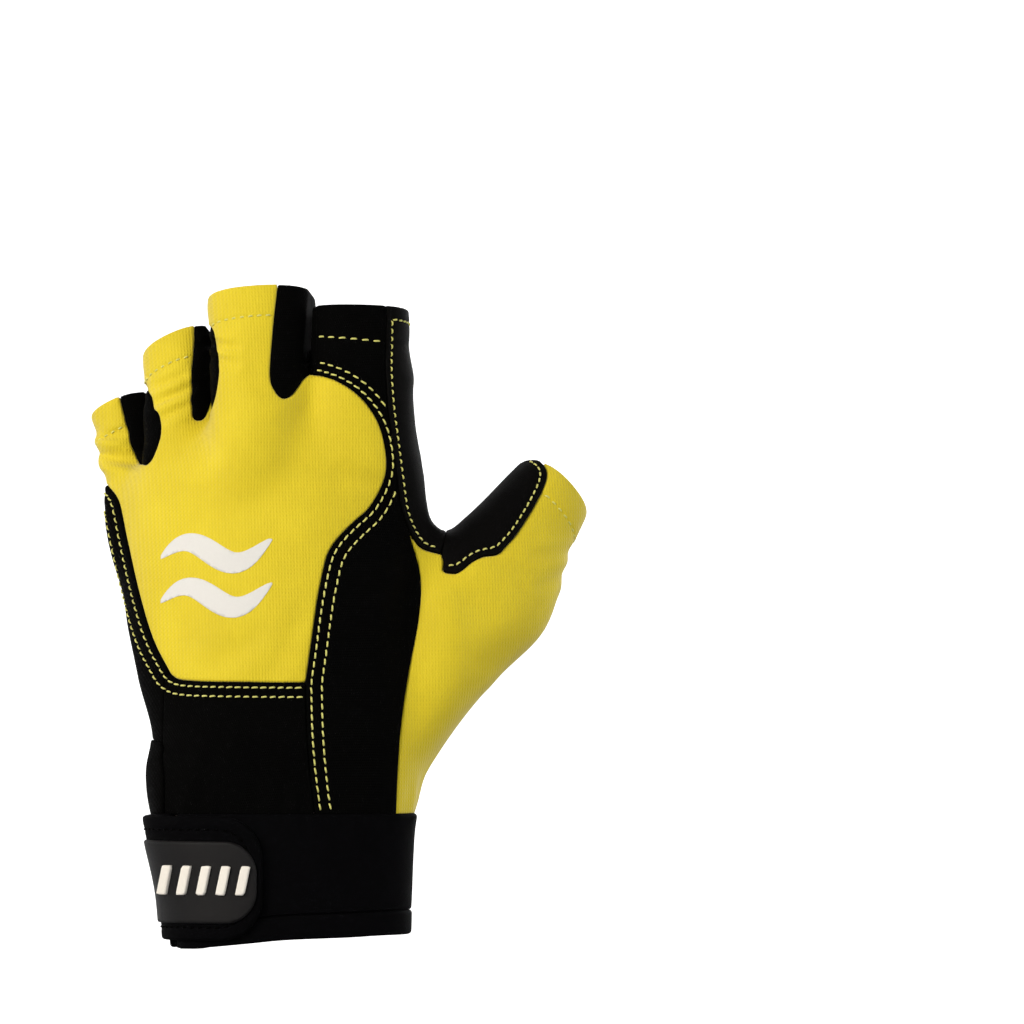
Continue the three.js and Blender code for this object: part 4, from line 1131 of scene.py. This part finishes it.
def ribs(steps=6, sides=5, clearance=2.7, half=0.24, high=0.3, sunk=0.06):
    """A low round rib along every edge of the honeycomb, laid on the pad."""
    tree = BVHTree.FromPolygons([v.co for v in pad.data.vertices], [p.vertices for p in pad.data.polygons])
    lines = honeycomb()
    ends = inside(lines.reshape(-1, 2), pad_ring).reshape(-1, 2)
    verts, faces = [], []
    for (p, q), clear in zip(lines, ends):
        if clear.min() < clearance:
            continue
        centres = []
        for t in np.linspace(0, 1, steps):
            x, z = p * (1 - t) + q * t
            place, up, _, _ = tree.ray_cast(Vector(((x - WRIST_X) * MM, 0.2, z * MM)), Vector((0, -1, 0)))
            if place is not None and up.y > 0.1:
                centres.append((np.array(place) * 1000, np.array(up)))
        if len(centres) < steps:
            continue
        base = len(verts)
        along = unit((centres[-1][0] - centres[0][0])[None])[0]
        for centre, up in centres:
            across = unit(np.cross(up, along)[None])[0]
            for a in np.linspace(0, math.pi, sides):
                verts.append(centre + across * half * math.cos(a) + up * (high * math.sin(a) - sunk))
        for k in range(steps - 1):
            for j in range(sides):
                m = (j + 1) % sides
                faces.append((base + k * sides + j, base + k * sides + m,
                              base + (k + 1) * sides + m, base + (k + 1) * sides + j))
        faces.append(tuple(base + j for j in range(sides))[::-1])
        faces.append(tuple(base + (steps - 1) * sides + j for j in range(sides)))
    verts = np.array(verts)
    verts[:, 0] += WRIST_X
    return verts, faces


v, fcs = ribs()
thread_piece("grip_ribs", v, fcs, "rib")
thread_piece("seam_stitches", threads_v, threads_f)
v, fcs = stitches(iso_runs(strap_data, strap_tri, strap_data[:, COL["f"]] - STRAP_ROW), 2.85)
thread_piece("strap_stitches", v, fcs, "stretch")

# Stage: a pale floor that rises into a backdrop all round, under soft lights.
stage_mat, tree, shader, mm = surface("pale_paper", Roughness=0.95, Specular_IOR_Level=0.05,
                                      Emission_Color=linear("#FFFFFF"))
cloud = add(tree, "ShaderNodeTexNoise", {"Vector": mm, "Scale": 1 / 50}).outputs[0]
paper = add(tree, "ShaderNodeValToRGB", {"Fac": cloud}, [(0.3, "#FAFAFA"), (0.7, "#FCFCFC")]).outputs[0]
tree.links.new(paper, shader.inputs["Base Color"])
level = add(tree, "ShaderNodeSeparateXYZ", {0: mm}).outputs[2]
glow = add(tree, "ShaderNodeMapRange", {"Value": level, "From Min": 700, "From Max": 1500,
                                        "To Min": 0.75, "To Max": 0.0}).outputs[0]
low_glow = add(tree, "ShaderNodeMapRange", {"Value": level, "From Min": -500, "From Max": -380,
                                            "To Min": 0.25, "To Max": 1.0}).outputs[0]
shine = add(tree, "ShaderNodeMath", {0: glow, 1: low_glow}, operation="MULTIPLY").outputs[0]
tree.links.new(shine, shader.inputs["Emission Strength"])
profile = [(4.4, -0.5), (5.2, -0.42), (5.9, 0), (6.2, 0.8), (6.3, 2), (6.3, 6)]
ring = 96
verts = [(r * math.cos(2 * math.pi * j / ring), r * math.sin(2 * math.pi * j / ring), z)
         for r, z in profile for j in range(ring)]
faces = [(i * ring + j, i * ring + (j + 1) % ring, (i + 1) * ring + (j + 1) % ring, (i + 1) * ring + j)
         for i in range(len(profile) - 1) for j in range(ring)]
faces.append(tuple(range(ring)))
floor = new_mesh("floor", verts, faces)
floor.data.polygons.foreach_set("use_smooth", np.ones(len(floor.data.polygons), bool))
floor.data.materials.append(stage_mat)

scene = bpy.context.scene
world = bpy.data.worlds.new("studio")
scene.world = world
world.use_nodes = True
world.node_tree.nodes["Background"].inputs[0].default_value = linear("#FFFFFF")
world.node_tree.nodes["Background"].inputs[1].default_value = 0.35


def lamp(name, place, aim, width, height, power, colour="#FFFFFF"):
    """A soft lamp aimed at a point."""
    data = bpy.data.lights.new(name, "AREA")
    data.shape = "RECTANGLE"
    data.size, data.size_y, data.energy, data.color = width, height, power, linear(colour)[:3]
    ob = bpy.data.objects.new(name, data)
    ob.location = place
    ob.rotation_euler = (Vector(aim) - Vector(place)).to_track_quat("-Z", "Y").to_euler()
    scene.collection.objects.link(ob)


lamp("key", (-1.25, -1.05, 0.75), (0, 0, 0.09), 0.8, 0.8, 24, "#FFF6E8")
lamp("fill", (1.5, -0.55, 0.0), (0.03, 0, 0.08), 0.8, 0.8, 5, "#FFFFF4")
lamp("palm_light", (0.4, 1.3, 0.7), (0, 0, 0.08), 1.0, 1.0, 12)

cam = bpy.data.cameras.new("camera")
cam.lens, cam.sensor_width = 676.5, 36
cam.clip_start, cam.clip_end = 0.1, 40
camera = bpy.data.objects.new("camera", cam)
camera.location = (0.0573, -5.0, 0.1112)
camera.rotation_euler = (math.pi / 2, 0, 0)
scene.collection.objects.link(camera)
scene.camera = camera
scene.view_settings.view_transform = "Standard"
